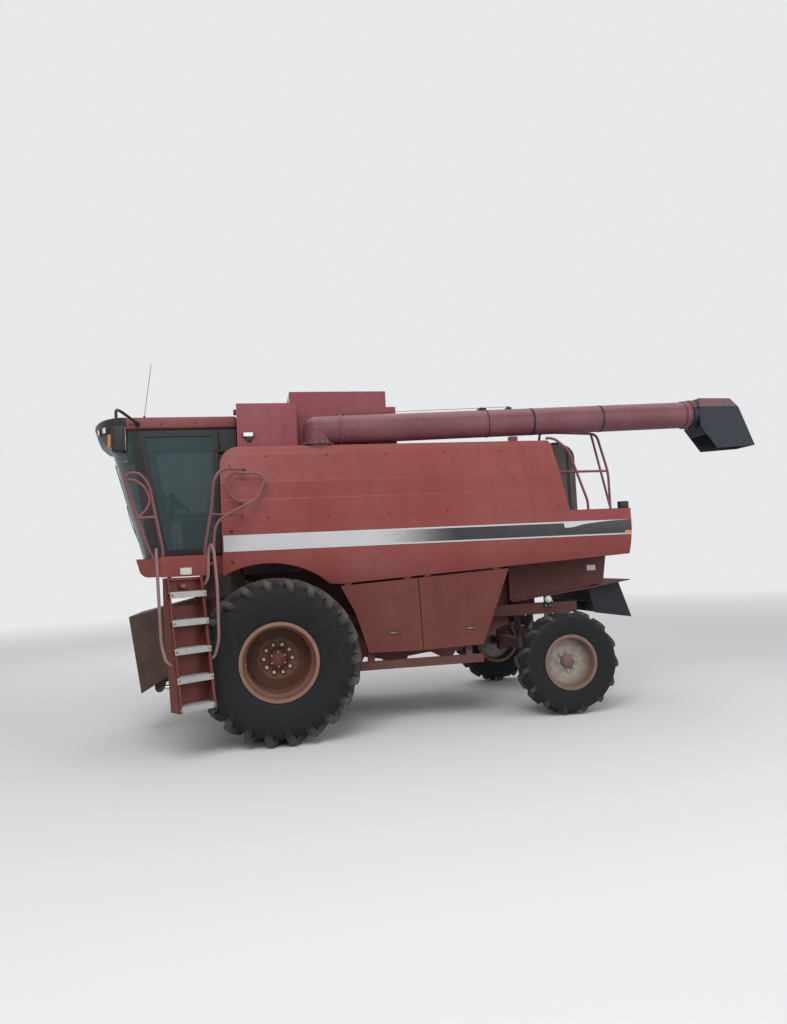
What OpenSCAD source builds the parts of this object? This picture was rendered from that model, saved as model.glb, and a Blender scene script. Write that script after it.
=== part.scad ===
// Combine harvester with a long unloading auger, in millimetres.
// x runs forward and y to the machine's left. Heights are above the ground.
// All x values below are measured from the front axle, all y values from the middle plane.

/* [Wheels] */
// Distance between the two axles
wheelbase = 3457; // [3400:1:3520]
// Diameter of a front tyre over its lugs
front_tyre_d = 1810; // [1760:1:1820]
// Width of a front tyre
front_tyre_w = 775; // [740:1:780]
// Diameter of a front rim over its flanges
front_rim_d = 867; // [850:1:880]
// Width of a front rim between its flanges
front_rim_w = 686; // [660:1:700]
// Distance between the middles of the front tyres
front_track = 3060; // [3040:1:3100]
// Diameter of a rear tyre over its lugs
rear_tyre_d = 1245; // [1200:1:1260]
// Width of a rear tyre
rear_tyre_w = 378; // [360:1:390]
// Diameter of a rear rim over its flanges
rear_rim_d = 660; // [640:1:680]
// Width of a rear rim between its flanges
rear_rim_w = 330; // [310:1:340]
// Distance between the middles of the rear tyres
rear_track = 2820; // [2800:1:2860]
// Distance from the middle of a rear tyre in to its kingpin
kingpin_in = 320; // [300:1:330]

/* [Body] */
// Width over the side panels
body_w = 3000; // [2960:1:3040]
// Height of the upper edge of the side panels
panel_top_z = 3340; // [3320:1:3400]
// Height of the joint between upper panel and belt panel
belt_top_z = 2450; // [2430:1:2480]
// Height of the stripe's lower edge
stripe_low_z = 2126; // [2100:1:2140]
// Height of the stripe
stripe_h = 184; // [160:1:200]
// Thickness of a side panel
panel_t = 40; // [30:1:50]
// Front end of the side panels
panel_front_x = 570; // [560:1:580]
// Rear end of the upper panels, at their lower edge
panel_rear_x = -3593; // [-3640:1:-3560]
// Rear end of the belt panels and the deck
deck_rear_x = -4390; // [-4440:1:-4340]
// Width of the threshing body between the frame rails
body_core_w = 1400; // [1360:1:1440]
// Half-width of the straw hood
hood_w = 1600; // [1560:1:1640]

/* [Cab] */
// Width of the cab
cab_w = 1700; // [1660:1:1740]
// Height of the cab's floor
cab_floor_z = 2100; // [2080:1:2120]
// Height of the underside of the roof
roof_low_z = 3640; // [3600:1:3660]
// Thickness of the roof at its edge
roof_t = 125; // [100:1:140]
// Rear end of the cab
cab_rear_x = 380; // [370:1:400]
// Foremost point of the visor
visor_tip_x = 2044; // [2000:1:2060]
// Length of the antenna
antenna_l = 700; // [500:1:750]

/* [Unloading auger] */
// Outer diameter of the auger tube
auger_d = 335; // [320:1:350]
// Height of the tube's axis at the elbow
auger_axis_z = 3520; // [3515:1:3560]
// Rise of the tube towards its end, in degrees
auger_rise = 1.5; // [1:0.1:1.8]
// Distance from the turning axis to the end of the tube
auger_reach = 4900; // [4700:1:5000]
// Place of the turning axis along the machine
turret_x = -570; // [-600:1:-560]
// Distance of the turning axis in from the side panel's face
turret_in = 250; // [240:1:260]

/* [Ladder and platform] */
// Outer edge of the platform
platform_y = 1900; // [1880:1:1910]
// Clear width of the ladder
ladder_w = 430; // [400:1:450]
// Number of steps
step_count = 5; // [4:1:5]
// Distance from step to step
step_rise = 294; // [280:1:300]
// Angle at which the ladder stands, in degrees
ladder_angle = 35; // [25:1:36]

/* [Feeder house] */
// Width of the feeder house
feeder_w = 1200; // [1160:1:1240]
// Height of the lift pivot
feeder_pivot_z = 1450; // [1430:1:1470]
// Place of the lift pivot along the machine
feeder_pivot_x = 400; // [390:1:420]
// Diameter of the lift cylinder's barrel
barrel_d = 90; // [80:1:100]
// Diameter of the lift cylinder's rod
rod_d = 50; // [40:1:60]

/* [Hidden] */
$fn = 48;
red = [0.60, 0.20, 0.16];
dark = [0.12, 0.12, 0.13];
grey = [0.55, 0.55, 0.53];
rust = [0.45, 0.28, 0.20];
glass_tint = [0.55, 0.75, 0.70, 0.5];

// Running gaps: at a shaft or pin, and between panels that move past each other
shaft_gap = 0.3;
panel_gap = 8;
seam = 0.3;

// Levels that several pieces share
side_y = body_w / 2;
turret_y = side_y - turret_in;
core_y = body_core_w / 2;
front_r = front_tyre_d / 2;
rear_r = rear_tyre_d / 2;
rear_x = -wheelbase;
rail_w = 120;
rail_low_z = 1160;
rail_top_z = 1300;
cab_base_z = 1880;
rail_out_y = core_y + rail_w;
core_top_z = 1950;
stripe_top_z = stripe_low_z + stripe_h;
flange_t = 40;
tank_top_z = panel_top_z - flange_t;

// Skirt line under the belt panels, straight from front to rear, and the curve above it
skirt_front_x = -750;
skirt_front_z = 1700;
skirt_rear_z = 1885;
skirt_slope = atan((skirt_rear_z - skirt_front_z) / (skirt_front_x - deck_rear_x));
skirt_in = 100;
skirt_curve_h = 390;
skirt_r = (skirt_curve_h * skirt_curve_h + skirt_in * skirt_in) / (2 * skirt_in);

// Hinge line of the service shields, under the skirt's edge
shield_axis_in = skirt_in + 4;
shield_axis_drop = 14;
shield_pin_d = 8;
shield_knuckle_d = 16;
shield_split = 926;
shield_len = 2052;
shield_hinges = [90, 800, 1040, 1900];

// Ladder: its middle at the top step, and the hinge that it swings on
ladder_x = 980;
ladder_y = platform_y + 135;
platform_low_z = 1880;
ladder_top_z = platform_low_z - panel_gap;
step_top_z = 1728;
step_lean = 28;
step_depth = 140;
step_t = 30;
hinge_x = 1120;
hinge_y = platform_y - 80;
hinge_pin_d = 40;

// Extents that set the middle of the ground box
boot_tip_x = turret_x - auger_reach - 755;
low_step_out = step_lean * (step_count - 1) + step_depth;
reach_left = ladder_y + (ladder_w / 2) * sin(ladder_angle) + low_step_out * cos(ladder_angle);
reach_right = front_track / 2 + front_tyre_w / 2;
mid_x = (visor_tip_x + boot_tip_x) / 2;
mid_y = (reach_left - reach_right) / 2;

function unit(v) = v / norm(v);

// Round the corners of a path: r is how far from each corner the bend starts
function bent(p, r, n = 3) = [for (i = [0:len(p) - 1])
    each (i == 0 || i == len(p) - 1) ? [p[i]] :
        let (a = p[i - 1] - p[i], b = p[i + 1] - p[i],
            d = min(r, norm(a) / 2.1, norm(b) / 2.1),
            s = p[i] + unit(a) * d, e = p[i] + unit(b) * d)
        [for (k = [0:n]) let (t = k / n)
            s * (1 - t) * (1 - t) + p[i] * 2 * t * (1 - t) + e * t * t]];

function tangent(p, i) = unit(p[min(i + 1, len(p) - 1)] - p[max(i - 1, 0)]);

// Round tube along a path. up is never parallel to the path
module tube(path, d, up = [0, 1, 0], r = 80, sides = 8) {
    p = bent(path, r);
    n = len(p);
    rings = [for (i = [0:n - 1])
        let (t = tangent(p, i), a = unit(cross(up, t)), b = cross(t, a))
        for (k = [0:sides - 1]) let (w = (k + 0.5) * 360 / sides)
            p[i] + (a * cos(w) + b * sin(w)) * d / 2];
    faces = concat(
        [[for (k = [0:sides - 1]) k]],
        [for (i = [0:n - 2], k = [0:sides - 1])
            let (m = (k + 1) % sides)
            [i * sides + k, (i + 1) * sides + k, (i + 1) * sides + m, i * sides + m]],
        [[for (k = [sides - 1:-1:0]) (n - 1) * sides + k]]);
    polyhedron(rings, faces, convexity = 8);
}

// Extrusions of a side view along y, and of a rear view along x
module prism_y(y0, y1) translate([0, y1, 0]) rotate([90, 0, 0]) linear_extrude(y1 - y0) children();
module prism_x(x0, x1) translate([x0, 0, 0]) rotate([90, 0, 90]) linear_extrude(x1 - x0) children();
module block(lo, hi) translate(lo) cube(hi - lo);
module rod_y(x, z, y0, y1, d) translate([x, y1, z]) rotate([90, 0, 0]) cylinder(h = y1 - y0, d = d);
module both_sides() {
    children();
    mirror([0, 1, 0]) children();
}
module on_ground() translate([-mid_x, -mid_y, 0]) children();

// Frame, axles and body core

module main_frame() color(dark) on_ground() {
    rail_front_x = 860;
    rail_rear_x = -3900;
    sill_y = 1200;
    sill_front_x = -960;
    sill_rear_x = -2480;
    union() {
        both_sides() {
            block([rail_rear_x, core_y, rail_low_z], [rail_front_x, rail_out_y, rail_top_z]);
            // Posts that carry the cab
            block([620, core_y, rail_top_z], [740, rail_out_y, cab_base_z]);
            // Arms and sill under the service shields
            for (x = [-1100, -2300])
                block([x - 40, core_y, 1000], [x + 40, sill_y, 1100]);
            for (x = [-1100, -2300])
                block([x - 40, core_y, 1100], [x + 40, rail_out_y, rail_low_z]);
            for (x = [-1100, -2300])
                block([x - 40, sill_y - 30, 660], [x + 40, sill_y + 30, 1100]);
            block([sill_rear_x, sill_y - 30, 660], [sill_front_x, sill_y + 30, 760]);
            // Feeder pivot plates
            difference() {
                prism_y(feeder_w / 2 + 20, core_y)
                    polygon([[feeder_pivot_x - 120, rail_low_z], [rail_front_x - 200, rail_low_z],
                        [feeder_pivot_x + 90, feeder_pivot_z + 90],
                        [feeder_pivot_x - 90, feeder_pivot_z + 90]]);
                rod_y(feeder_pivot_x, feeder_pivot_z, 0, side_y, 80);
            }
        }
        // Cross members at the rear axle and behind the feeder
        block([rear_x - 150, -core_y, rail_low_z], [rear_x + 150, core_y, rail_low_z + 60]);
        for (x = [rear_x - 110, rear_x + 70]) difference() {
            block([x, -90, pivot_z - 80], [x + 40, 90, rail_low_z]);
            rod_y_x(x - 5, x + 45, 0, pivot_z, 60 + 2 * shaft_gap);
        }
    }
}

// Wall behind the cab, between the side panels
module bulkhead() color(red) on_ground() intersection() {
    prism_x(tank_front_x, tank_front_x + 30) union() {
        translate([-side_y, core_top_z]) square([body_w, tank_top_z - core_top_z]);
        for (y = [-rail_out_y, core_y]) translate([y, rail_top_z]) square([rail_w, 700]);
    }
    both_sides() prism_x(0, 1000) polygon(concat([[-1, rail_low_z], [side_y - panel_t - panel_gap, rail_low_z],
        [side_y - panel_t - panel_gap, core_top_z + 100]], inner_line(panel_t + seam), [[-1, tank_top_z]]));
}

front_beam_z = 1060;
final_in_y = 930;
final_out_y = 1130;
front_hub_y = 1330;

module front_axle() color(dark) on_ground() union() {
    block([-100, -final_in_y, front_beam_z - 100], [100, final_in_y, rail_low_z]);
    block([-260, -200, 800], [240, 200, rail_low_z - 20]);
    both_sides() {
        // Drop housing between the beam and the wheel's spindle
        rod_y(0, front_beam_z - 40, final_in_y, final_out_y, 380);
        rod_y(0, front_r, final_in_y, final_out_y, 480);
        rod_y(0, front_r, final_out_y, front_hub_y, 240);
        rod_y(0, front_r, final_out_y, front_hub_y + 100, 110);
    }
    // Brackets and pins of the lift cylinders
    for (y = [-lift_y, lift_y]) {
        for (s = [-1, 1]) block([-60, y + s * 55 - 10, lift_base[1] - 60], [lift_base[0] + 50, y + s * 55 + 10, front_beam_z - 95]);
        rod_y(lift_base[0], lift_base[1], y - 60, y + 60, lift_pin_d);
    }
}

rear_beam_z = 680;
pivot_z = 870;
kingpin_y = rear_track / 2 - kingpin_in;
kingpin_d = 60;
hitch_z = rear_beam_z;
hitch_pin_d = 32;
fork_h = 120;
arm_low_z = rear_beam_z + fork_h + 40;
arm_t = 24;

module rear_axle() color(dark) on_ground() difference() {
    union() {
        block([rear_x - 60, -kingpin_y + 120, rear_beam_z - 70], [rear_x + 60, kingpin_y - 120, rear_beam_z + 70]);
        rod_y_x(rear_x - 70, rear_x + 70, 0, pivot_z, 150);
        rod_y_x(rear_x - 120, rear_x + 120, 0, pivot_z, 60);
        block([rear_x - 60, -75, rear_beam_z], [rear_x + 60, 75, pivot_z]);
        both_sides() {
            block([rear_x - 60, kingpin_y - 130, rear_beam_z - fork_h - 30], [rear_x + 60, kingpin_y - 90, rear_beam_z + fork_h + 30]);
            for (z = [rear_beam_z - fork_h - 30, rear_beam_z + fork_h]) {
                block([rear_x - 60, kingpin_y - 130, z], [rear_x + 60, kingpin_y, z + 30]);
                translate([rear_x, kingpin_y, z]) cylinder(h = 30, d = 120);
            }
        }
        // Hitch plates behind the beam
        for (z = [hitch_z - 40, hitch_z + 20]) block([rear_x - 200, -50, z], [rear_x - 60, 50, z + 20]);
    }
    both_sides() translate([rear_x, kingpin_y, 0]) cylinder(h = 2000, d = kingpin_d + 2 * shaft_gap);
    translate([rear_x - 165, 0, 0]) cylinder(h = 2000, d = hitch_pin_d);
}

// Bar along x with a round section
module rod_y_x(x0, x1, y, z, d) translate([x0, y, z]) rotate([0, 90, 0]) cylinder(h = x1 - x0, d = d);

module engine_block() color(dark) on_ground() union() {
    block([-3100, -450, belt_top_z], [-2150, 350, 3200]);
    // Shaft that the air screen turns on
    rod_y(screen_x, screen_z, 12 - side_y + screen_w, -440, screen_shaft_d);
}

module threshing_body() color(red) on_ground() union() {
    prism_y(-core_y, core_y) polygon([[cab_rear_x - 10, core_top_z], [cab_rear_x - 10, 1780], [120, 1780], [120, 1250], [-300, 1200], [-330, 900], [-1400, 700], [-1900, 760],
        [-2300, 760], [body_rear_x, 1060], [body_rear_x, core_top_z]]);
    // Rotor housing and the two conveying augers, seen from below
    rod_y(-760, 900, 6 - core_y, core_y - 6, 720);
    rod_y(-1500, 760, 6 - core_y, core_y - 6, 300);
    rod_y(-2150, 800, 6 - core_y, core_y - 6, 260);
}

// Grain tank and what stands on it

tank_front_x = 336;
tank_rear_x = -1600;
tank_left_y = side_y - 550;
tank_right_y = 200 - side_y;
tank_t = 30;

module tank_outline(t) polygon([[tank_front_x - t, tank_top_z + t * 4], [tank_front_x - t, 2450 + t / 2],
    [-350, core_top_z + t * 1.2], [-800, core_top_z + t * 1.2],
    [tank_rear_x + t, 2450 + t / 2], [tank_rear_x + t, tank_top_z + t * 4]]);

module grain_tank() color(red) on_ground() difference() {
    intersection() {
        prism_y(tank_right_y, tank_left_y) tank_outline(0);
        block([tank_rear_x, tank_right_y, 0], [tank_front_x, tank_left_y, tank_top_z]);
    }
    prism_y(tank_right_y + tank_t, tank_left_y - tank_t) tank_outline(tank_t);
}

// Cover between the tank and the left panel, round the turret
module turret_cover() block([tank_rear_x, tank_left_y, tank_top_z - 20], [tank_front_x, ext_y - 10, tank_top_z]);

ext_front_x = 366;
ext_step_x = -334;
ext_rear_x = -1590;
ext_y = side_y - 250;
ext_low_top_z = 3860;
ext_high_y = 900;
ext_high_front_x = -278;
ext_high_rear_x = -1480;
ext_high_top_z = 4070;
ext_t = 12;

module ext_walls(half_y, z0, z1) difference() {
    union() {
        block([ext_step_x, -half_y, z0], [ext_front_x, half_y, z1]);
        block([ext_rear_x, -half_y, z0], [ext_step_x, tank_left_y, z1]);
    }
    block([ext_step_x + ext_t, -ext_y + ext_t, 0], [ext_front_x - ext_t, ext_y - ext_t, 5000]);
    block([ext_rear_x + ext_t, -ext_y + ext_t, 0], [ext_step_x + 2 * ext_t, tank_left_y - ext_t, 5000]);
}

module tank_extension() color(red) on_ground() union() {
    // Low walls round the front, stepping in behind the left front panel for the auger
    ext_walls(ext_y, panel_top_z, ext_low_top_z);
    ext_walls(flange_in_y - seam, tank_top_z, panel_top_z);
    // Ledge between the low walls and the high ones
    difference() {
        block([ext_rear_x, -ext_high_y - 60, ext_low_top_z - ext_t], [ext_high_front_x + 60, tank_left_y, ext_low_top_z]);
        block([ext_high_rear_x + ext_t, -ext_high_y + ext_t, 0], [ext_high_front_x - ext_t, ext_high_y - ext_t, 5000]);
    }
    // High walls in the middle
    difference() {
        block([ext_high_rear_x, -ext_high_y, ext_low_top_z - ext_t], [ext_high_front_x, ext_high_y, ext_high_top_z]);
        block([ext_high_rear_x + ext_t, -ext_high_y + ext_t, 0], [ext_high_front_x - ext_t, ext_high_y - ext_t, 5000]);
    }
}

// Side panels

// Rear view of an upper panel: flat side with two creases, round upper edge, flange to the tank
panel_r = 140;
panel_lean = 45;
crease = 6;
crease_z = [2700, 2900];
flange_in_y = side_y - 300;
function outer_line() = [[side_y, belt_top_z + seam], [side_y, crease_z[0]],
    [side_y - crease, crease_z[0] + 2 * crease], [side_y - crease, crease_z[1]],
    [side_y - 2 * crease, crease_z[1] + 2 * crease], [side_y - panel_lean, panel_top_z - panel_r]];
function inner_line(t) = [[side_y - t, belt_top_z + seam], [side_y - t, crease_z[0]],
    [side_y - crease - t, crease_z[0] + 2 * crease], [side_y - crease - t, crease_z[1]],
    [side_y - 2 * crease - t, crease_z[1] + 2 * crease], [side_y - panel_lean - t, panel_top_z - panel_r],
    [side_y - panel_lean - panel_r, panel_top_z - t]];

module panel_section() {
    c = [side_y - panel_lean - panel_r, panel_top_z - panel_r];
    difference() {
        union() {
            polygon(concat(outer_line(), [c + [0, panel_r], [flange_in_y, panel_top_z],
                [flange_in_y, belt_top_z + seam]]));
            intersection() {
                translate(c) circle(r = panel_r, $fn = 64);
                translate(c) square(2 * panel_r);
            }
        }
        polygon(concat([[side_y - panel_t, 0]], inner_line(panel_t),
            [[flange_in_y - 10, panel_top_z - panel_t], [flange_in_y - 10, 0]]));
    }
}

// Side view of an upper panel, with the slanted rear end and the round front corner
module panel_side() {
    r = 250;
    polygon(concat([[panel_front_x, belt_top_z], [panel_rear_x, belt_top_z], [panel_rear_x + 185, panel_top_z]],
        [for (a = [0:7.5:90]) [panel_front_x - r + r * sin(a), panel_top_z - r + r * cos(a)]]));
}

// Front wall of the nose, behind its rounded edge
nose_in_y = 900;
nose_wall_x = panel_front_x - 70;
nose_wall_t = 30;

module upper_panel() intersection() {
    union() {
        prism_x(-5000, 1000) panel_section();
        prism_x(nose_wall_x, nose_wall_x + nose_wall_t) polygon(concat(inner_line(panel_t - 1),
            [[nose_in_y, panel_top_z], [nose_in_y, belt_top_z + seam]]));
    }
    prism_y(0, side_y + 1) panel_side();
}

module upper_panel_left() color(red) on_ground() difference() {
    upper_panel();
    translate([turret_x, turret_y, tank_top_z - 300]) cylinder(h = 1000, d = auger_d + 2 * seam);
}

screen_x = -2800;
screen_z = 2850;
screen_d = 640;
screen_w = 90;
screen_shaft_d = 40;

module upper_panel_right() color(red) on_ground() difference() {
    mirror([0, 1, 0]) upper_panel();
    rod_y(screen_x, screen_z, -2000, -1000, screen_d + 5 * panel_gap);
}

// Wheel arch: its middle against the front axle, and its room round the tyre
arch_x = 77;
arch_rise = 13;
arch_gap = 156;

// Side view of the belt panel: stripe zone and skirt, with the wheel arch cut
module belt_side() difference() {
    polygon([[panel_front_x, belt_top_z], [panel_front_x, 1850], [300, 1780], [skirt_front_x, skirt_front_z],
        [deck_rear_x, skirt_rear_z], [deck_rear_x, belt_top_z]]);
    translate([arch_x, front_r + arch_rise]) circle(r = front_r + arch_gap, $fn = 96);
}

// Rear view of the belt panel, above the skirt line: curving out, then flat where the stripe is.
// Its faces stand off the panel's outer face by in_off and out_off
module belt_shell(in_off, out_off) difference() {
    c = [side_y - skirt_r, skirt_curve_h];
    union() {
        translate([c[0], c[1]]) square([skirt_r + out_off, 1000]);
        intersection() {
            translate(c) circle(r = skirt_r + out_off, $fn = 128);
            translate([side_y - 2 * skirt_in, 0]) square([2 * skirt_in + out_off, skirt_curve_h]);
        }
    }
    translate([c[0] - 1, c[1]]) square([skirt_r + in_off + 1, 2000]);
    translate(c) circle(r = skirt_r + in_off, $fn = 128);
}
module belt_section() belt_shell(-panel_t, 0);

// Room between the two belt panels, with the curve as short straight lines
module skirt_inside() {
    n = 8;
    r = skirt_r - panel_t - seam;
    arc = [for (i = [0:n]) let (z = skirt_curve_h * i / n)
        [side_y - skirt_r + sqrt(r * r - pow(z - skirt_curve_h, 2)), z]];
    polygon(concat(arc, [[side_y - panel_t - seam, 1000], [panel_t + seam - side_y, 1000]],
        [for (i = [n:-1:0]) [-arc[i][0], arc[i][1]]]));
}

module at_skirt() translate([skirt_front_x, 0, skirt_front_z]) rotate([0, skirt_slope, 0]) children();

// Tabs and pins that the service shields hang on
module shield_tabs() at_skirt() for (u = shield_hinges) translate([-u, side_y - shield_axis_in, -shield_axis_drop]) {
    for (x = [-40, 36]) block([x, -14, -6], [x + 4, 5, shield_axis_drop + 12]);
    rod_y_x(-38, 38, 0, 0, shield_pin_d);
}

module belt_panels() color(red) on_ground() both_sides() union() {
    intersection() {
        union() {
            at_skirt() prism_x(-4000, 2000) belt_section();
            block([nose_wall_x, nose_in_y, 1850], [nose_wall_x + nose_wall_t, side_y - panel_t + 1, belt_top_z]);
        }
        prism_y(0, 2000) belt_side();
    }
    shield_tabs();
}

module stripe_bands() color(grey) on_ground() both_sides() intersection() {
    block([deck_rear_x, side_y - skirt_in, stripe_low_z], [panel_front_x - 15, side_y + 5, stripe_top_z]);
    at_skirt() prism_x(-5000, 3000) belt_shell(seam, 4);
}

// Rear deck and what stands on it

module rear_deck() color(red) on_ground() union() {
    inner = side_y - panel_t;
    block([deck_rear_x, -inner, belt_top_z - 40], [tank_rear_x, inner, belt_top_z]);
    intersection() {
        block([deck_rear_x, -inner, 1900], [deck_rear_x + 30, inner, belt_top_z]);
        at_skirt() prism_x(-5000, 0) skirt_inside();
    }
}

rail_tube_d = 32;
loop_y = platform_y - 40;
guard_y = side_y - 500;
grab_y = side_y - 120;

module hand_rails() color(red) on_ground() {
    // Front grab loop beside the windscreen
    tube([[1175, loop_y, cab_floor_z + seam], [1175, loop_y, 2180], [1295, loop_y, 2875], [1394, loop_y, 3009],
        [1542, loop_y, 2989], [1523, loop_y, 2846], [1315, loop_y, 2176], [1245, loop_y, 2030], [1200 + seam, loop_y, 2030]],
        rail_tube_d, up = [0, 1, 0]);
    // Rear post and its bar to the side panel
    tube([[740, loop_y, cab_floor_z + seam], [740, loop_y, 2180], [656, loop_y, 2614], [623, loop_y, 2915],
        [539, loop_y - 110, 3034], [300, side_y + 60, 3050], [300, side_y - 24.8, 3050]], rail_tube_d, up = [0.5, 0.2, 1]);
    // Hand loop between the platform and the side panel
    tube([[720 - seam, loop_y, 2000], [655, loop_y, 2000], [647, loop_y, 2205], [629, loop_y, 2396],
        [558, loop_y - 100, 2496], [165, side_y + 100, 2706], [72, side_y + 70, 2919], [133, side_y + 70, 2996],
        [406, side_y + 100, 3008], [503, side_y + 100, 2931], [478, side_y + 100, 2759],
        [345, side_y + 80, 2669], [345, side_y + seam, 2669]],
        rail_tube_d, up = [0.3, 0.5, 1]);
    // Guard rail along the rear deck, with its middle bar and the inner strut
    tube([[-3450, guard_y, belt_top_z + seam], [-3450, guard_y, 3495], [-4240, guard_y, 3460], [-4372, guard_y, 2950],
        [-4372, guard_y, belt_top_z + seam]], rail_tube_d, up = [0, 1, 0]);
    tube([[-3450 - rail_tube_d / 2, guard_y, 2975], [-4365 + rail_tube_d / 2, guard_y, 2972]], rail_tube_d, up = [0, 1, 0]);
    // Grab rail from the upper panel's rear corner down to the deck
    tube([[-3396, grab_y, panel_top_z + seam], [-3396, grab_y, 3362], [-3500, grab_y, 3350], [-3668, grab_y, 3210],
        [-3886, grab_y, 2560], [-3886, grab_y, belt_top_z + seam]], rail_tube_d, up = [0, 1, 0]);
}

body_rear_x = -3000;
hood_front_x = body_rear_x - seam;

// Underside of the hood's lip
function lip_low_z(x) = x > -4040 ? 1448 + (x + 4040) * 128 / -1190 : 1448 + (-4040 - x) * 87 / 615;

module straw_hood() color(red) on_ground() union() {
    prism_y(-hood_w / 2, hood_w / 2)
        polygon([[hood_front_x, core_top_z + 50], [hood_front_x, 1350], [-4040, 1466], [-4300, 1530],
            [deck_rear_x + 30 + seam, 1900], [deck_rear_x + 30 + seam, core_top_z + 50]]);
    prism_y(-hood_w / 2 - 60, hood_w / 2 + 60)
        polygon([[hood_front_x, 1356], [-4040, 1466], [-4655, 1545], [-4655, 1535], [-4040, 1448],
            [hood_front_x, 1336]]);
}

// Shroud under the rear lip, open below
module straw_flap() color(dark) on_ground() difference() {
    prism_y(-700, 700) polygon([[-4120, lip_low_z(-4120) - seam], [-4206, 1121], [-4722, 1037],
        [-4560, lip_low_z(-4560) - seam]]);
    prism_y(-685, 685) polygon([[-4135, 1440], [-4222, 1000], [-4700, 1000], [-4545, 1500]]);
}

module fuel_tank() color(dark) on_ground() prism_y(-750, 700) union() {
    translate([-3880, belt_top_z]) square([230, 920]);
    translate([-4050, belt_top_z]) square([400, 750]);
    translate([-3880, belt_top_z + 750]) circle(r = 170, $fn = 64);
}

// Cab

cab_y = cab_w / 2;
pillar_low_x = 1430;
pillar_top_x = 1620;
cab_wall = 50;
door_low_z = cab_floor_z + 50;
door_top_z = roof_low_z - 50;
door_rear_x = 620;
door_low_front_x = 1290;
door_top_front_x = 1500;

// Prow under the windscreen: a sharp upper corner over a rounded chin
chin_r = 130;
chin_x = 1578 - chin_r;

module cab_base() color(red) on_ground() prism_y(-cab_y, cab_y)
    polygon(concat([[cab_rear_x, cab_floor_z], [cab_rear_x, cab_base_z]],
        [for (a = [-90:9:-9]) [chin_x + (chin_r - 20) * cos(a), cab_base_z + chin_r + chin_r * sin(a)]],
        [[1566, 2030], [1580, 2065], [1580, cab_floor_z]]));

module cab_side_outline() polygon([[cab_rear_x, cab_floor_z], [pillar_low_x, cab_floor_z],
    [pillar_top_x, roof_low_z], [cab_rear_x, roof_low_z]]);
module cab_side_opening(g = 0) polygon([[door_rear_x + g, door_low_z + g], [door_low_front_x - g, door_low_z + g],
    [door_top_front_x - g, door_top_z - g], [door_rear_x + g, door_top_z - g]]);

module cab_frame() color(dark) on_ground() union() {
    both_sides() prism_y(cab_y - cab_wall, cab_y) difference() {
        cab_side_outline();
        cab_side_opening();
    }
    // Rear wall with its window
    prism_x(cab_rear_x, cab_rear_x + cab_wall) difference() {
        translate([-cab_y + cab_wall, cab_floor_z]) square([cab_w - 2 * cab_wall, roof_low_z - cab_floor_z]);
        translate([-600, 2500]) square([1200, 900]);
    }
    block([pillar_top_x - 120, -cab_y + cab_wall, roof_low_z - 60], [pillar_top_x - 20, cab_y - cab_wall, roof_low_z]);
    // Hinge brackets and pins of the door
    for (z = door_hinges) {
        translate([door_axis[0], door_axis[1], z - 20]) cylinder(h = 100, d = 14);
        block([door_axis[0] - 60, cab_y - 5, z - 20], [door_rear_x - 22, door_axis[1] + 14, z - 1]);
    }
}

visor_rear_x = 1650;
visor_low_x = 1860;
visor_low_z = 3430;
visor_lip_z = 3560;

module cab_roof() color(red) on_ground() union() {
    prism_y(-cab_y - 40, cab_y + 40)
        polygon([[cab_rear_x - 10, roof_low_z], [visor_rear_x, roof_low_z], [visor_rear_x, roof_low_z + roof_t - 20],
            [cab_rear_x - 10, roof_low_z + roof_t]]);
    prism_y(-cab_y + 40, cab_y - 40)
        polygon([[visor_rear_x, roof_low_z + roof_t - 20], [1900, roof_low_z + 90], [visor_tip_x, roof_low_z + 30],
            [visor_tip_x - 40, visor_lip_z], [visor_low_x, visor_low_z], [visor_rear_x, roof_low_z]]);
    translate([1450, cab_y, roof_low_z + roof_t - 20]) rotate([0, -8.5, 0]) cylinder(h = antenna_l, d = 8);
}

// Bowed windscreen, leaning forward: half an ellipse in plan that grows deeper upwards
glass_t = 10;
bow_low_x = 1574;
bow_top_x = 1975;

// Height at which a line of slope k, from x0 at the floor, meets the visor's underside
function under_visor(x0, k) = let (
    roof = roof_low_z - seam,
    z0 = cab_floor_z,
    s1 = (visor_rear_x + roof_low_z - 2 * seam - x0 + k * z0) / (1 + k),
    c = (visor_lip_z - visor_low_z) / (visor_tip_x - 40 - visor_low_x),
    s2 = (visor_low_z - 2 * seam + c * (x0 - k * z0 - visor_low_x)) / (1 - c * k))
    x0 + k * (roof - z0) <= visor_rear_x ? roof : x0 + k * (s1 - z0) <= visor_low_x ? s1 : s2;

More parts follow.
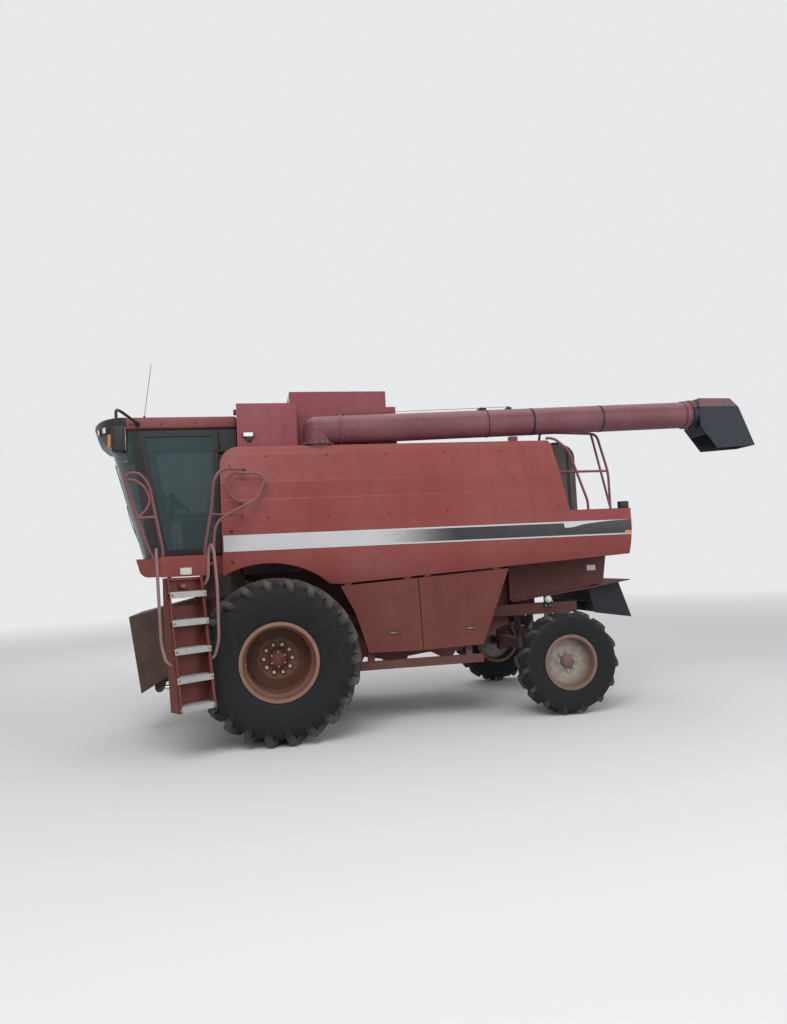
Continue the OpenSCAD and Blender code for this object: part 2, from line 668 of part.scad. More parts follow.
// Bowed windscreen: upright lines between two half ellipses, each cut off under the visor
module windscreen() {
    side_n = 6;
    mid_n = 12;
    n = 2 * side_n + mid_n;
    h = roof_low_z - cab_floor_z;
    rim = function(y, f, cut) let (
        x0 = pillar_low_x + 2 * seam + (bow_low_x - cut - pillar_low_x) * f,
        x1 = pillar_top_x + 2 * seam + (bow_top_x - cut - pillar_top_x) * f,
        k = (x1 - x0) / h, z = under_visor(x0, k))
        [[x0, y, cab_floor_z + seam], [x0 + k * (z - cab_floor_z), y, z]];
    low_edge = function(f, cut) let (
        x0 = pillar_low_x + 2 * seam + (bow_low_x - cut - pillar_low_x) * f,
        x1 = pillar_top_x + 2 * seam + (bow_top_x - cut - pillar_top_x) * f)
        x0 + (x1 - x0) * (visor_low_z - 2 * seam - cab_floor_z) / h;
    turns = function(cut) let (
        a = acos((visor_low_x - low_edge(0, cut)) / (low_edge(1, cut) - low_edge(0, cut))))
        concat([for (i = [0:side_n - 1]) -90 + (90 - a) * i / side_n],
            [for (i = [0:mid_n]) -a + 2 * a * i / mid_n],
            [for (i = [1:side_n]) a + (90 - a) * i / side_n]);
    outer = turns(0);
    inner = turns(glass_t);
    lines = concat(
        [for (i = [0:n]) rim(cab_y * sin(outer[i]), cos(outer[i]), 0)],
        [for (i = [n:-1:0]) rim((cab_y - glass_t) * sin(inner[i]), cos(inner[i]), glass_t)]);
    m = 2 * n + 2;
    polyhedron([for (e = [0, 1], l = lines) l[e]], concat(
        [for (i = [0:n - 1]) each [[i, i + 1, m - 2 - i], [i, m - 2 - i, m - 1 - i]]],
        [for (i = [0:n - 1]) each [[m + i, 2 * m - 2 - i, m + i + 1], [m + i, 2 * m - 1 - i, 2 * m - 2 - i]]],
        [for (i = [0:m - 1]) each [[i, m + i, (i + 1) % m], [m + i, m + (i + 1) % m, (i + 1) % m]]]), convexity = 6);
}

// Windscreen, and the fixed panes of the side and rear
module cab_glass() color(glass_tint) on_ground() {
    windscreen();
    prism_y(-cab_y + 20, -cab_y + 26) cab_side_opening(seam);
    block([cab_rear_x + 20, -600 + seam, 2500 + seam], [cab_rear_x + 26, 600 - seam, 3400 - seam]);
}

door_t = 36;
door_edge = 45;

door_in_y = cab_y + seam;
door_axis = [door_rear_x - 26, door_in_y + door_t + 4];
door_hinges = [door_low_z + 180, door_top_z - 220];

module cab_door() color(dark) on_ground() union() {
    prism_y(door_in_y, door_in_y + door_t) difference() {
        cab_side_opening(-20);
        cab_side_opening(door_edge);
    }
    for (z = door_hinges) difference() {
        union() {
            translate([door_axis[0], door_axis[1], z]) cylinder(h = 80, d = 28);
            block([door_axis[0], door_in_y + door_t - 6, z], [door_rear_x + 30, door_axis[1] + 6, z + 80]);
        }
        translate([door_axis[0], door_axis[1], z - 1]) cylinder(h = 82, d = 14 + 2 * shaft_gap);
    }
}

module door_glass() color(glass_tint) on_ground()
    prism_y(cab_y + 16, cab_y + 22) cab_side_opening(door_edge + seam);

module seat() color(dark) on_ground() union() {
    block([720, -150, cab_floor_z], [980, 150, cab_floor_z + 320]);
    block([640, -240, cab_floor_z + 320], [1090, 240, cab_floor_z + 450]);
    block([560, -230, cab_floor_z + 420], [680, 230, cab_floor_z + 1050]);
}

module steering_column() color(dark) on_ground() union() {
    tube([[1320, 0, cab_floor_z], [1320, 0, cab_floor_z + 150], [1290, 0, cab_floor_z + 450], [1180, 0, cab_floor_z + 720]], 90);
    translate([1180, 0, cab_floor_z + 720]) rotate([0, -35, 0]) rotate_extrude() translate([190, 0]) circle(r = 16);
    translate([1180, 0, cab_floor_z + 720]) rotate([0, -35, 0]) for (a = [30, 150, 270]) rotate([0, 0, a])
        block([0, -12, -8], [190, 12, 8]);
}

module platform() color(red) on_ground() union() {
    block([720, cab_y, cab_floor_z - 40], [1200, platform_y, cab_floor_z]);
    block([720, platform_y - 30, platform_low_z], [1200, platform_y, cab_floor_z - 40]);
    block([720, cab_y, platform_low_z], [750, platform_y - 30, cab_floor_z - 40]);
    block([1170, cab_y, platform_low_z], [1200, platform_y - 30, cab_floor_z - 40]);
    // Socket of the ladder's hinge
    difference() {
        block([hinge_x - 40, hinge_y - 40, platform_low_z], [1170, platform_y - 30, cab_floor_z - 40]);
        translate([hinge_x, hinge_y, platform_low_z - 1]) cylinder(h = 101, d = hinge_pin_d + 2 * shaft_gap);
    }
}

module mirrors() color(dark) on_ground() both_sides() union() {
    tube([[1500, cab_y + 40 + seam, 3700], [1500, cab_y + 90, 3700], [1600, 1150, 3860], [1650, 1300, 3800],
        [1650, 1300, 3540]], 24, up = [1, 0.3, 0]);
    block([1590, 1220, 3230], [1700, 1400, 3540]);
}

module lamps() color(grey) on_ground() {
    for (s = [-1, 1], x = [1772, 1924]) translate([x - 45, s * (cab_y - 37.5) - 2.5, 3560]) cube([90, 5, 80]);
    block([200, ext_y, 3440], [300, ext_y + 40, 3500]);
}

// Unloading auger

base_flange_t = 8;
turn_flange_t = 12;
flange_z = panel_top_z + seam + base_flange_t;

module auger_base() color(red) on_ground() {
    union() {
        translate([turret_x, turret_y, 2000]) cylinder(h = flange_z - 2000, d = auger_d);
        translate([turret_x, turret_y, panel_top_z + seam]) cylinder(h = base_flange_t, d = auger_d + 60);
        translate([turret_x, tank_left_y, 2150]) rotate([-90, 0, 0]) cylinder(h = turret_y - tank_left_y, d = 260);
        turret_cover();
    }
    // Saddle for the folded tube
    block([-3050, turret_y - 40, panel_top_z], [-2950, turret_y + 40, auger_axis_z + 2400 * tan(auger_rise) - auger_d / 2 - 12]);
}

// The tube is drawn in its own frame: turning axis at the origin, tube along -x
module at_turret() on_ground() translate([turret_x, turret_y, 0]) children();

module auger_tube() color(red) at_turret() union() {
    translate([0, 0, flange_z + shaft_gap]) cylinder(h = turn_flange_t, d = auger_d + 60);
    translate([0, 0, flange_z + shaft_gap]) cylinder(h = auger_axis_z - flange_z, d = auger_d);
    translate([0, 0, auger_axis_z]) sphere(d = auger_d + 4);
    translate([0, 0, auger_axis_z]) rotate([0, auger_rise - 90, 0]) difference() {
        union() {
            cylinder(h = auger_reach, d = auger_d);
            translate([0, 0, auger_reach - 150]) cylinder(h = 50, d = auger_d + 24);
            translate([0, 0, 260]) cylinder(h = 30, d = auger_d + 24);
        }
        translate([0, 0, auger_reach - 200]) cylinder(h = 500, d = auger_d - 16);
    }
}

boot_axis_z = auger_axis_z + auger_reach * sin(auger_rise);

// Spout boot: a sleeve round the end of the tube, and the drooping chute
module spout_boot() color(dark) at_turret() {
    hw = auger_d / 2 + 25;
    e = auger_reach;
    difference() {
        union() {
            prism_y(-hw, hw) polygon([[-e, boot_axis_z + 180], [-e - 440, boot_axis_z + 175], [-e - 560, boot_axis_z + 60],
                [-e - 755, boot_axis_z - 440], [-e - 215, boot_axis_z - 470], [-e, boot_axis_z - 180]]);
            translate([0, 0, auger_axis_z]) rotate([0, auger_rise - 90, 0])
                translate([0, 0, e - 60]) cylinder(h = 70, d = auger_d + 40);
        }
        prism_y(-hw + 10, hw - 10) polygon([[-e - 10, boot_axis_z + 165], [-e - 430, boot_axis_z + 160],
            [-e - 545, boot_axis_z + 55], [-e - 745, boot_axis_z - 500], [-e - 230, boot_axis_z - 520],
            [-e - 10, boot_axis_z - 180]]);
        translate([0, 0, auger_axis_z]) rotate([0, auger_rise - 90, 0])
            translate([0, 0, e - 100]) cylinder(h = 200, d = auger_d + 2 * seam);
    }
}

// Rotating air screen in the opening of the right panel
module rotary_screen() color(dark) on_ground() difference() {
    union() {
        rod_y(screen_x, screen_z, -side_y + 10, -side_y + 10 + screen_w, screen_d);
        rod_y(screen_x, screen_z, -side_y + 10, -side_y + 70 + screen_w, 2 * screen_shaft_d);
    }
    rod_y(screen_x, screen_z, screen_w - side_y, 0, screen_shaft_d + 2 * shaft_gap);
}

// Service shields. Drawn from their hinge line: u runs back along it, s down the shield
shield_tilt = 6.5;
shield_t = 30;

module at_shield(side) on_ground() mirror([0, side < 0 ? 1 : 0, 0]) at_skirt()
    translate([0, side_y - shield_axis_in, -shield_axis_drop]) children();

module shield(outline, stations) difference() {
    union() {
        rotate([-shield_tilt, 0, 0]) rotate([90, 0, 0]) mirror([1, 0, 0]) mirror([0, 1, 0])
            linear_extrude(shield_t) polygon(outline);
        for (u = stations) {
            rod_y_x(-u - 34, -u + 34, 0, 0, shield_knuckle_d);
            rotate([-shield_tilt, 0, 0]) block([-u - 30, -6, -30], [-u + 30, -1, -2]);
        }
    }
    for (u = stations) rod_y_x(-u - 35, -u + 35, 0, 0, shield_pin_d + 2 * shaft_gap);
}

shield_top = shield_knuckle_d / 2 + 6;
shield_front = [[0, shield_top], [150, 350], [272, 835], [shield_split - panel_gap / 2, 879],
    [shield_split - panel_gap / 2, shield_top]];
shield_rear = [[shield_split + panel_gap / 2, shield_top], [shield_split + panel_gap / 2, 879], [1674, 898],
    [shield_len, shield_top]];
front_hinges = [shield_hinges[0], shield_hinges[1]];
rear_hinges = [shield_hinges[2], shield_hinges[3]];

module shield_front_left() color(red) at_shield(1) shield(shield_front, front_hinges);
module shield_rear_left() color(red) at_shield(1) shield(shield_rear, rear_hinges);
module shield_front_right() color(red) at_shield(-1) shield(shield_front, front_hinges);
module shield_rear_right() color(red) at_shield(-1) shield(shield_rear, rear_hinges);

// Feeder house and its lift cylinders

feeder_y = feeder_w / 2;
feeder_wall = 25;
face_top = [1720, 1420];
face_low = [1600, 500];

module feeder_side() polygon([[feeder_pivot_x, feeder_pivot_z + 260], face_top, face_low,
    [feeder_pivot_x + 60, feeder_pivot_z - 290]]);

module feeder_house() color(dark) on_ground() difference() {
    union() {
        prism_y(-feeder_y, feeder_y) union() {
            feeder_side();
            translate([feeder_pivot_x, feeder_pivot_z]) circle(r = 260, $fn = 64);
        }
        // Ears of the lift cylinders
        for (y = [-lift_y, lift_y], s = [-1, 1]) prism_y(y + s * 42 - 8, y + s * 42 + 8) union() {
            polygon([[lift_eye[0] - 55, lift_eye[1]], [lift_eye[0] + 55, lift_eye[1]],
                [lift_eye[0] + 55, lift_eye[1] + 90], [lift_eye[0] - 120, lift_eye[1] + 180]]);
            translate(lift_eye) circle(r = 55);
        }
        // Pivot shaft stubs
        both_sides() rod_y(feeder_pivot_x, feeder_pivot_z, feeder_y - 5, core_y - 10, 80 - 2 * shaft_gap);
    }
    prism_y(-feeder_y + feeder_wall, feeder_y - feeder_wall)
        polygon([[feeder_pivot_x + 400, feeder_pivot_z + 120], face_top + [40, -60], face_low + [20, 60],
            [feeder_pivot_x + 400, feeder_pivot_z - 300]]);
}

// Cylinder between the frame and the feeder: pivots in the side view
lift_y = 450;
lift_base = [40, 470];
lift_eye = [1400, 541];
lift_pin_d = 50;
lift_dir = atan2(lift_eye[1] - lift_base[1], lift_eye[0] - lift_base[0]);
lift_l = norm(lift_eye - lift_base);
barrel_l = 900;
barrel_bore = 300;
rod_l = 870;

module along_lift(y) on_ground() translate([lift_base[0], y, lift_base[1]]) rotate([0, -lift_dir, 0])
    rotate([0, 90, 0]) children();

module lift_barrels() color(dark) for (y = [-lift_y, lift_y]) along_lift(y) difference() {
    union() {
        cylinder(h = barrel_l, d = barrel_d);
        rotate([90, 0, 0]) cylinder(h = 80, d = 100, center = true);
    }
    translate([0, 0, barrel_bore]) cylinder(h = barrel_l, d = rod_d + 2 * shaft_gap);
    rotate([90, 0, 0]) cylinder(h = 200, d = lift_pin_d + 2 * shaft_gap, center = true);
}

module lift_rods() color(grey) for (y = [-lift_y, lift_y]) along_lift(y) union() {
    translate([0, 0, lift_l - rod_l]) cylinder(h = rod_l, d = rod_d);
    translate([0, 0, lift_l]) rotate([90, 0, 0]) cylinder(h = 60, d = 90, center = true);
}

// Ladder: u runs forward along a step, v outward. Drawn upright, then turned to its angle
module at_ladder() on_ground() translate([ladder_x, ladder_y, 0]) rotate([0, 0, ladder_angle]) children();

function ladder_at(u, v) = [ladder_x + u * cos(ladder_angle) - v * sin(ladder_angle),
    ladder_y + u * sin(ladder_angle) + v * cos(ladder_angle)];

module ladder() color(red) union() {
    hw = ladder_w / 2;
    at_ladder() union() {
        for (i = [0:step_count - 1]) {
            v = step_lean * i;
            z = step_top_z - step_rise * i;
            block([-hw, v, z - step_t], [hw, v + step_depth, z]);
            block([-hw, v, z - step_rise * 0.8], [hw, v + 6, z - step_t]);
        }
        for (s = [-1, 1]) prism_x(s > 0 ? hw - 8 : -hw, s > 0 ? hw : -hw + 8)
            polygon([[0, ladder_top_z], [40, ladder_top_z],
                [step_lean * (step_count - 1) + step_depth, step_top_z - step_rise * (step_count - 1)],
                [step_lean * (step_count - 1) + step_depth, step_top_z - step_rise * (step_count - 1) - 40],
                [step_lean * (step_count - 1), step_top_z - step_rise * (step_count - 1) - 40]]);
        block([-hw, 0, ladder_top_z - 30], [hw, 40, ladder_top_z]);
        // Handrails
        tube([[hw, 130, 1000], [hw + 50, 115, 1040], [hw + 60, 45, 1214], [hw + 60, 0, 2100], [hw + 60, 0, 2181]],
            26, up = [0, 1, 0.2]);
        tube([[-hw, 150, 1010], [-hw - 50, 165, 1040], [-hw - 60, 235, 1200], [-hw - 60, 240, 1756],
            [-hw - 60, 200, 2130], [-hw - 60, 146, 2220], [-hw - 60, 95, 2130], [-hw - 60, 75, 1860],
            [-hw - 40, 35, 1790], [-hw, 30, 1780]], 26, up = [1, 0, 0.2]);
    }
    // Arm and pin that it swings on
    on_ground() {
        translate([0, 0, ladder_top_z - 30]) linear_extrude(30) union() {
            translate([hinge_x, hinge_y]) circle(r = 45);
            polygon([[hinge_x - 45, hinge_y], ladder_at(-60, 20), ladder_at(180, 20), [hinge_x + 45, hinge_y]]);
        }
        translate([hinge_x, hinge_y, ladder_top_z - 30]) cylinder(h = 120, d = hinge_pin_d);
    }
}

// Rear steering

steer_arm = 200;
stud_d = 20;
tie_z = arm_low_z + arm_t + 16;

module knuckle(s) on_ground() mirror([0, s < 0 ? 1 : 0, 0]) difference() {
    union() {
        translate([rear_x, kingpin_y, rear_beam_z - fork_h + shaft_gap]) cylinder(h = 2 * (fork_h - shaft_gap), d = 110);
        translate([rear_x, kingpin_y, rear_beam_z - fork_h - 50]) cylinder(h = arm_low_z - rear_beam_z + fork_h + 60, d = kingpin_d);
        rod_y(rear_x, rear_r, kingpin_y, rear_track / 2 - 60 - shaft_gap, 100);
        rod_y(rear_x, rear_r, kingpin_y, rear_track / 2 - 10, 60);
        // Steering arm, bored for the tie rod's stud
        block([rear_x - steer_arm, kingpin_y - 30, arm_low_z], [rear_x, kingpin_y + 30, arm_low_z + arm_t]);
        translate([rear_x - steer_arm, kingpin_y, arm_low_z]) cylinder(h = arm_t, d = 60);
        translate([rear_x, kingpin_y, arm_low_z]) cylinder(h = arm_t, d = 100);
    }
    translate([rear_x - steer_arm, kingpin_y, 0]) cylinder(h = 2000, d = stud_d + 2 * shaft_gap);
}

module knuckle_left() color(dark) knuckle(1);
module knuckle_right() color(dark) knuckle(-1);

module tie_rod() color(dark) on_ground() union() {
    rod_y(rear_x - steer_arm, tie_z + 4, -kingpin_y - 8, kingpin_y + 8, 24);
    for (y = [-kingpin_y, kingpin_y]) translate([rear_x - steer_arm, y, 0]) {
        translate([0, 0, tie_z - 12]) cylinder(h = 32, d = 60);
        translate([0, 0, arm_low_z - 16]) cylinder(h = tie_z - arm_low_z + 16, d = stud_d);
    }
}

// Wheels. Each is drawn with its axle along z, outer side up

module wheel_place(x, y, z, s) on_ground() mirror([0, s < 0 ? 1 : 0, 0]) translate([x, y, z]) rotate([-90, 0, 0])
    children();

// Half profile of a rim: flanges, bead seats and drop centre, and a dished disc
module rim_profile(d, w, seat, drop, disc_z, t, flat_r, dish) {
    h = w / 2;
    polygon([[d / 2, h], [d / 2, h - 10], [seat, h - 16], [seat - 8, h - 110], [drop, h - 150],
        [drop, -h + 150], [seat - 8, -h + 110], [seat, -h + 16], [d / 2, -h + 10], [d / 2, -h],
        [seat - t, -h], [seat - t - 8, -h + 110], [drop - t, -h + 150], [drop - t, h - 150],
        [seat - t - 8, h - 110], [seat - t, h]]);
    polygon([[0, disc_z], [flat_r, disc_z], [drop - t / 2, disc_z - dish], [drop - t / 2, disc_z - dish - 20],
        [flat_r - 5, disc_z - 20], [0, disc_z - 20]]);
}

module front_rim() union() {
    rotate_extrude($fn = 96) rim_profile(front_rim_d, front_rim_w, 406, 370, -80, 12, 230, 60);
    difference() {
        translate([0, 0, -190]) cylinder(h = 110, d = 200);
        translate([0, 0, -191]) cylinder(h = 104, d = 110 + 2 * shaft_gap);
    }
    translate([0, 0, -85]) cylinder(h = 65, d = 220);
    for (i = [0:9]) rotate([0, 0, 36 * i]) translate([160, 0, -85]) cylinder(h = 35, d = 34);
}

module rear_rim() union() {
    rotate_extrude($fn = 96) rim_profile(rear_rim_d, rear_rim_w, 305, 270, 10, 12, 190, 10);
    difference() {
        translate([0, 0, -60]) cylinder(h = 60, d = 130);
        translate([0, 0, -61]) cylinder(h = 56, d = 60 + 2 * shaft_gap);
    }
    translate([0, 0, 5]) cylinder(h = 55, d = 150);
    for (i = [0:7]) rotate([0, 0, 45 * i]) translate([110, 0, 5]) cylinder(h = 29, d = 30);
}

// Tyre with chevron lugs: rings of profile points, four stations to a lug's pitch.
// The lugs of the two sides alternate, and their inner ends lead as the wheel rolls forward
module tyre(d, w, rim_d, rim_w, seat, pitches, depth, lead) {
    n = 4 * pitches;
    r = d / 2;
    b = w / 2;
    h = rim_w / 2 - 16;
    grow = 1 / cos(180 / n);
    // Radius, distance from the middle plane and lag of each profile point, from the bead to the middle
    half = function(low) [[(seat + 0.3) * grow, h - 1, lead], [(rim_d / 2 + 1) * grow, h + 4, lead],
        [(r + rim_d / 2) / 2 + 50, b, lead], [r - (low ? depth + 8 : 12), b - (low ? 72 : 48), lead],
        [r - (low ? depth : 0), w / 17, 0]];
    points = [for (j = [0:9], i = [0:n - 1])
        let (side = j < 5 ? -1 : 1, low = (side < 0) == (i % 4 > 1), p = half(low)[j < 5 ? j : 9 - j],
            a = 360 * i / n - p[2])
        [p[0] * cos(a), p[0] * sin(a), side * p[1]]];
    polyhedron(points, [for (j = [0:9], i = [0:n - 1])
        let (k = (i + 1) % n, q = (j + 1) % 10)
        each [[j * n + i, q * n + i, q * n + k], [j * n + i, q * n + k, j * n + k]]], convexity = 8);
}

module front_wheel_place(s) wheel_place(0, front_track / 2, front_r, s) children();
module rear_wheel_place(s) wheel_place(rear_x, rear_track / 2, rear_r, s) children();

module rim_front_left() color(rust) front_wheel_place(1) front_rim();
module rim_front_right() color(rust) front_wheel_place(-1) front_rim();
module rim_rear_left() color(grey) rear_wheel_place(1) rear_rim();
module rim_rear_right() color(grey) rear_wheel_place(-1) rear_rim();
module front_tyre() tyre(front_tyre_d, front_tyre_w, front_rim_d, front_rim_w, 406, 22, 55, 13);
module rear_tyre() tyre(rear_tyre_d, rear_tyre_w, rear_rim_d, rear_rim_w, 305, 15, 38, 10);
module tyre_front_left() color(dark) front_wheel_place(1) front_tyre();
module tyre_front_right() color(dark) front_wheel_place(-1) front_tyre();
module tyre_rear_left() color(dark) rear_wheel_place(1) rear_tyre();
module tyre_rear_right() color(dark) rear_wheel_place(-1) rear_tyre();

main_frame();
bulkhead();
front_axle();
rear_axle();
engine_block();
threshing_body();
grain_tank();
tank_extension();
upper_panel_left();
upper_panel_right();
belt_panels();
stripe_bands();
rear_deck();
hand_rails();
straw_hood();
straw_flap();
fuel_tank();
cab_base();
cab_frame();
cab_roof();
cab_glass();
seat();
steering_column();
platform();
mirrors();
lamps();
auger_base();
cab_door();
door_glass();
shield_front_left();
shield_rear_left();
shield_front_right();
shield_rear_right();
feeder_house();
lift_barrels();
lift_rods();
ladder();
auger_tube();
spout_boot();
rotary_screen();
knuckle_left();
knuckle_right();
tie_rod();
rim_front_left();
rim_front_right();
rim_rear_left();
rim_rear_right();
tyre_front_left();
tyre_front_right();
tyre_rear_left();
tyre_rear_right();
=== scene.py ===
import math
from itertools import product

import bmesh
import bpy
from mathutils import Matrix, Vector, noise
from mathutils.bvhtree import BVHTree


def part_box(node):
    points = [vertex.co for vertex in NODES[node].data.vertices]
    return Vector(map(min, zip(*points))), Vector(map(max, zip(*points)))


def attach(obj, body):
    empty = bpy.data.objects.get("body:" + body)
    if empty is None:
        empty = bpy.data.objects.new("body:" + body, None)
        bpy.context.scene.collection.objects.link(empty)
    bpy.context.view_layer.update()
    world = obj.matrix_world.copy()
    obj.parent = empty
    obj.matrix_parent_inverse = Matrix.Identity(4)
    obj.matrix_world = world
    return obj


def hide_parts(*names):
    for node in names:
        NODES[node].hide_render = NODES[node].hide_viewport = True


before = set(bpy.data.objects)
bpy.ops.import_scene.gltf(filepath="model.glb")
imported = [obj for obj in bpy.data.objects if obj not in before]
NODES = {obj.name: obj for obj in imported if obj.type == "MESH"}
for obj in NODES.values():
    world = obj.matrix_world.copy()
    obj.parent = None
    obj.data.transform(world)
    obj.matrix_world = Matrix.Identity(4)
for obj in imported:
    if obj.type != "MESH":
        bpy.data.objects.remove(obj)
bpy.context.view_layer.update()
scene = bpy.context.scene

# The part's measures, in metres from the ground under the front axle's middle
FRONT_R, REAR_R = 0.905, 0.6225
FRONT_Y, REAR_Y = 1.53, 1.41
REAR_X = -3.457
LOOP_Y, GUARD_Y = 1.86, 1.0
SIDES = (("left", 1), ("right", -1))
DOWN, OUTWARD = (0, 0, -1), (0, 1, 0)

# Their shift from the middle of the ground box
tyre_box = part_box("tyre_front_left")
MID_X = -(tyre_box[0][0] + tyre_box[1][0]) / 2
MID_Y = FRONT_Y - (tyre_box[0][1] + tyre_box[1][1]) / 2
SHIFT = Vector((MID_X, MID_Y, 0))


def at(x, y, z):
    return Vector((x - MID_X, y - MID_Y, z))


# Camera of the photograph: turn, tilt and roll in degrees, and the focal length in pixels
yaw, pitch, roll = math.radians(10.82), math.radians(3.55), math.radians(-2.81)
FOCAL, LONG_SIDE = 775.5, 1024
forward = Vector((-math.sin(yaw) * math.cos(pitch), -math.cos(yaw) * math.cos(pitch), math.sin(pitch)))
level = forward.cross(Vector((0, 0, 1))).normalized()
upright = level.cross(forward)
right = math.cos(roll) * level + math.sin(roll) * upright
up = -math.sin(roll) * level + math.cos(roll) * upright
cam_data = bpy.data.cameras.new("camera")
cam = bpy.data.objects.new("camera", cam_data)
scene.collection.objects.link(cam)
cam.matrix_world = Matrix((*zip(right, up, -forward, at(0.301, 10.388, 1.944)), (0, 0, 0, 1)))
cam_data.sensor_width = 36
cam_data.lens = FOCAL / LONG_SIDE * 36
cam_data.clip_end = 400
scene.camera = cam


# A material's node tree, with short calls for the nodes it needs
class Tree:
    def __init__(self, name):
        self.mat = bpy.data.materials.new(name)
        self.mat.use_nodes = True
        self.nt = self.mat.node_tree
        self.nt.nodes.clear()
        self.out = self.nt.nodes.new("ShaderNodeOutputMaterial")
        self.pos = self.add("ShaderNodeTexCoord").outputs["Object"]

    def add(self, kind, inputs=None, **attrs):
        n = self.nt.nodes.new(kind)
        for k, v in attrs.items():
            setattr(n, k, v)
        for k, v in (inputs or {}).items():
            if isinstance(v, bpy.types.NodeSocket):
                self.nt.links.new(v, n.inputs[k])
            else:
                n.inputs[k].default_value = (*v, 1) if n.inputs[k].type == "RGBA" else v
        return n

    def math(self, op, a, b=0.0):
        return self.add("ShaderNodeMath", {0: a, 1: b}, operation=op).outputs[0]

    def mul(self, a, b):
        return self.math("MULTIPLY", a, b)

    def noise(self, scale, detail=4.0, rough=0.55, stretch=None):
        source = self.pos
        if stretch:
            source = self.add("ShaderNodeMapping", {"Vector": source, "Scale": stretch}).outputs[0]
        inputs = {"Vector": source, "Scale": scale, "Detail": detail, "Roughness": rough}
        return self.add("ShaderNodeTexNoise", inputs).outputs["Fac"]

    def ramp(self, fac, lo, hi):
        inputs = {"Value": fac, "From Min": lo, "From Max": hi}
        return self.add("ShaderNodeMapRange", inputs, clamp=True).outputs[0]

    # Noise, cut to what lies between two values
    def cloud(self, lo, hi, scale, detail, rough=0.55, stretch=None):
        return self.ramp(self.noise(scale, detail, rough, stretch), lo, hi)

    def mix(self, fac, a, b):
        return self.add("ShaderNodeMix", {0: fac, 6: a, 7: b}, data_type="RGBA").outputs[2]

    def mixf(self, fac, a, b):
        return self.add("ShaderNodeMix", {0: fac, 2: a, 3: b}).outputs[0]

    def xyz(self):
        return self.add("ShaderNodeSeparateXYZ", {0: self.pos}).outputs

    def up(self):
        geo = self.add("ShaderNodeNewGeometry")
        return self.add("ShaderNodeSeparateXYZ", {0: geo.outputs["Normal"]}).outputs["Z"]

    # Distance from an axle, seen from the side
    def radius(self, center):
        v = self.pos
        for op, by in (("SUBTRACT", tuple(center)), ("MULTIPLY", (1, 0, 1))):
            v = self.add("ShaderNodeVectorMath", {0: v, 1: by}, operation=op).outputs[0]
        return self.add("ShaderNodeVectorMath", {0: v}, operation="LENGTH").outputs["Value"]

    # Bevelled normal, and how near an edge is
    def edge(self, radius):
        b = self.add("ShaderNodeBevel", {"Radius": radius}, samples=4).outputs[0]
        flat = self.add("ShaderNodeNewGeometry").outputs["Normal"]
        dot = self.add("ShaderNodeVectorMath", {0: b, 1: flat}, operation="DOT_PRODUCT").outputs["Value"]
        return b, self.ramp(dot, 0.995, 0.93)

    def bump(self, height, strength, distance, normal=None):
        inputs = {"Height": height, "Strength": strength, "Distance": distance}
        if normal is not None:
            inputs["Normal"] = normal
        return self.add("ShaderNodeBump", inputs).outputs[0]

    def surface(self, **values):
        names = {"color": "Base Color", "rough": "Roughness", "metal": "Metallic", "normal": "Normal",
                 "alpha": "Alpha", "coat": "Coat Weight", "spec": "Specular IOR Level", "ior": "IOR",
                 "sheen": "Sheen Weight"}
        n = self.add("ShaderNodeBsdfPrincipled", {names[k]: v for k, v in values.items()})
        self.nt.links.new(n.outputs[0], self.out.inputs[0])
        return self.mat


RUST = (0.105, 0.042, 0.022)
DUST = (0.22, 0.165, 0.115)


def scaled(color, k, more=0.0):
    return tuple(v * k + more for v in color)


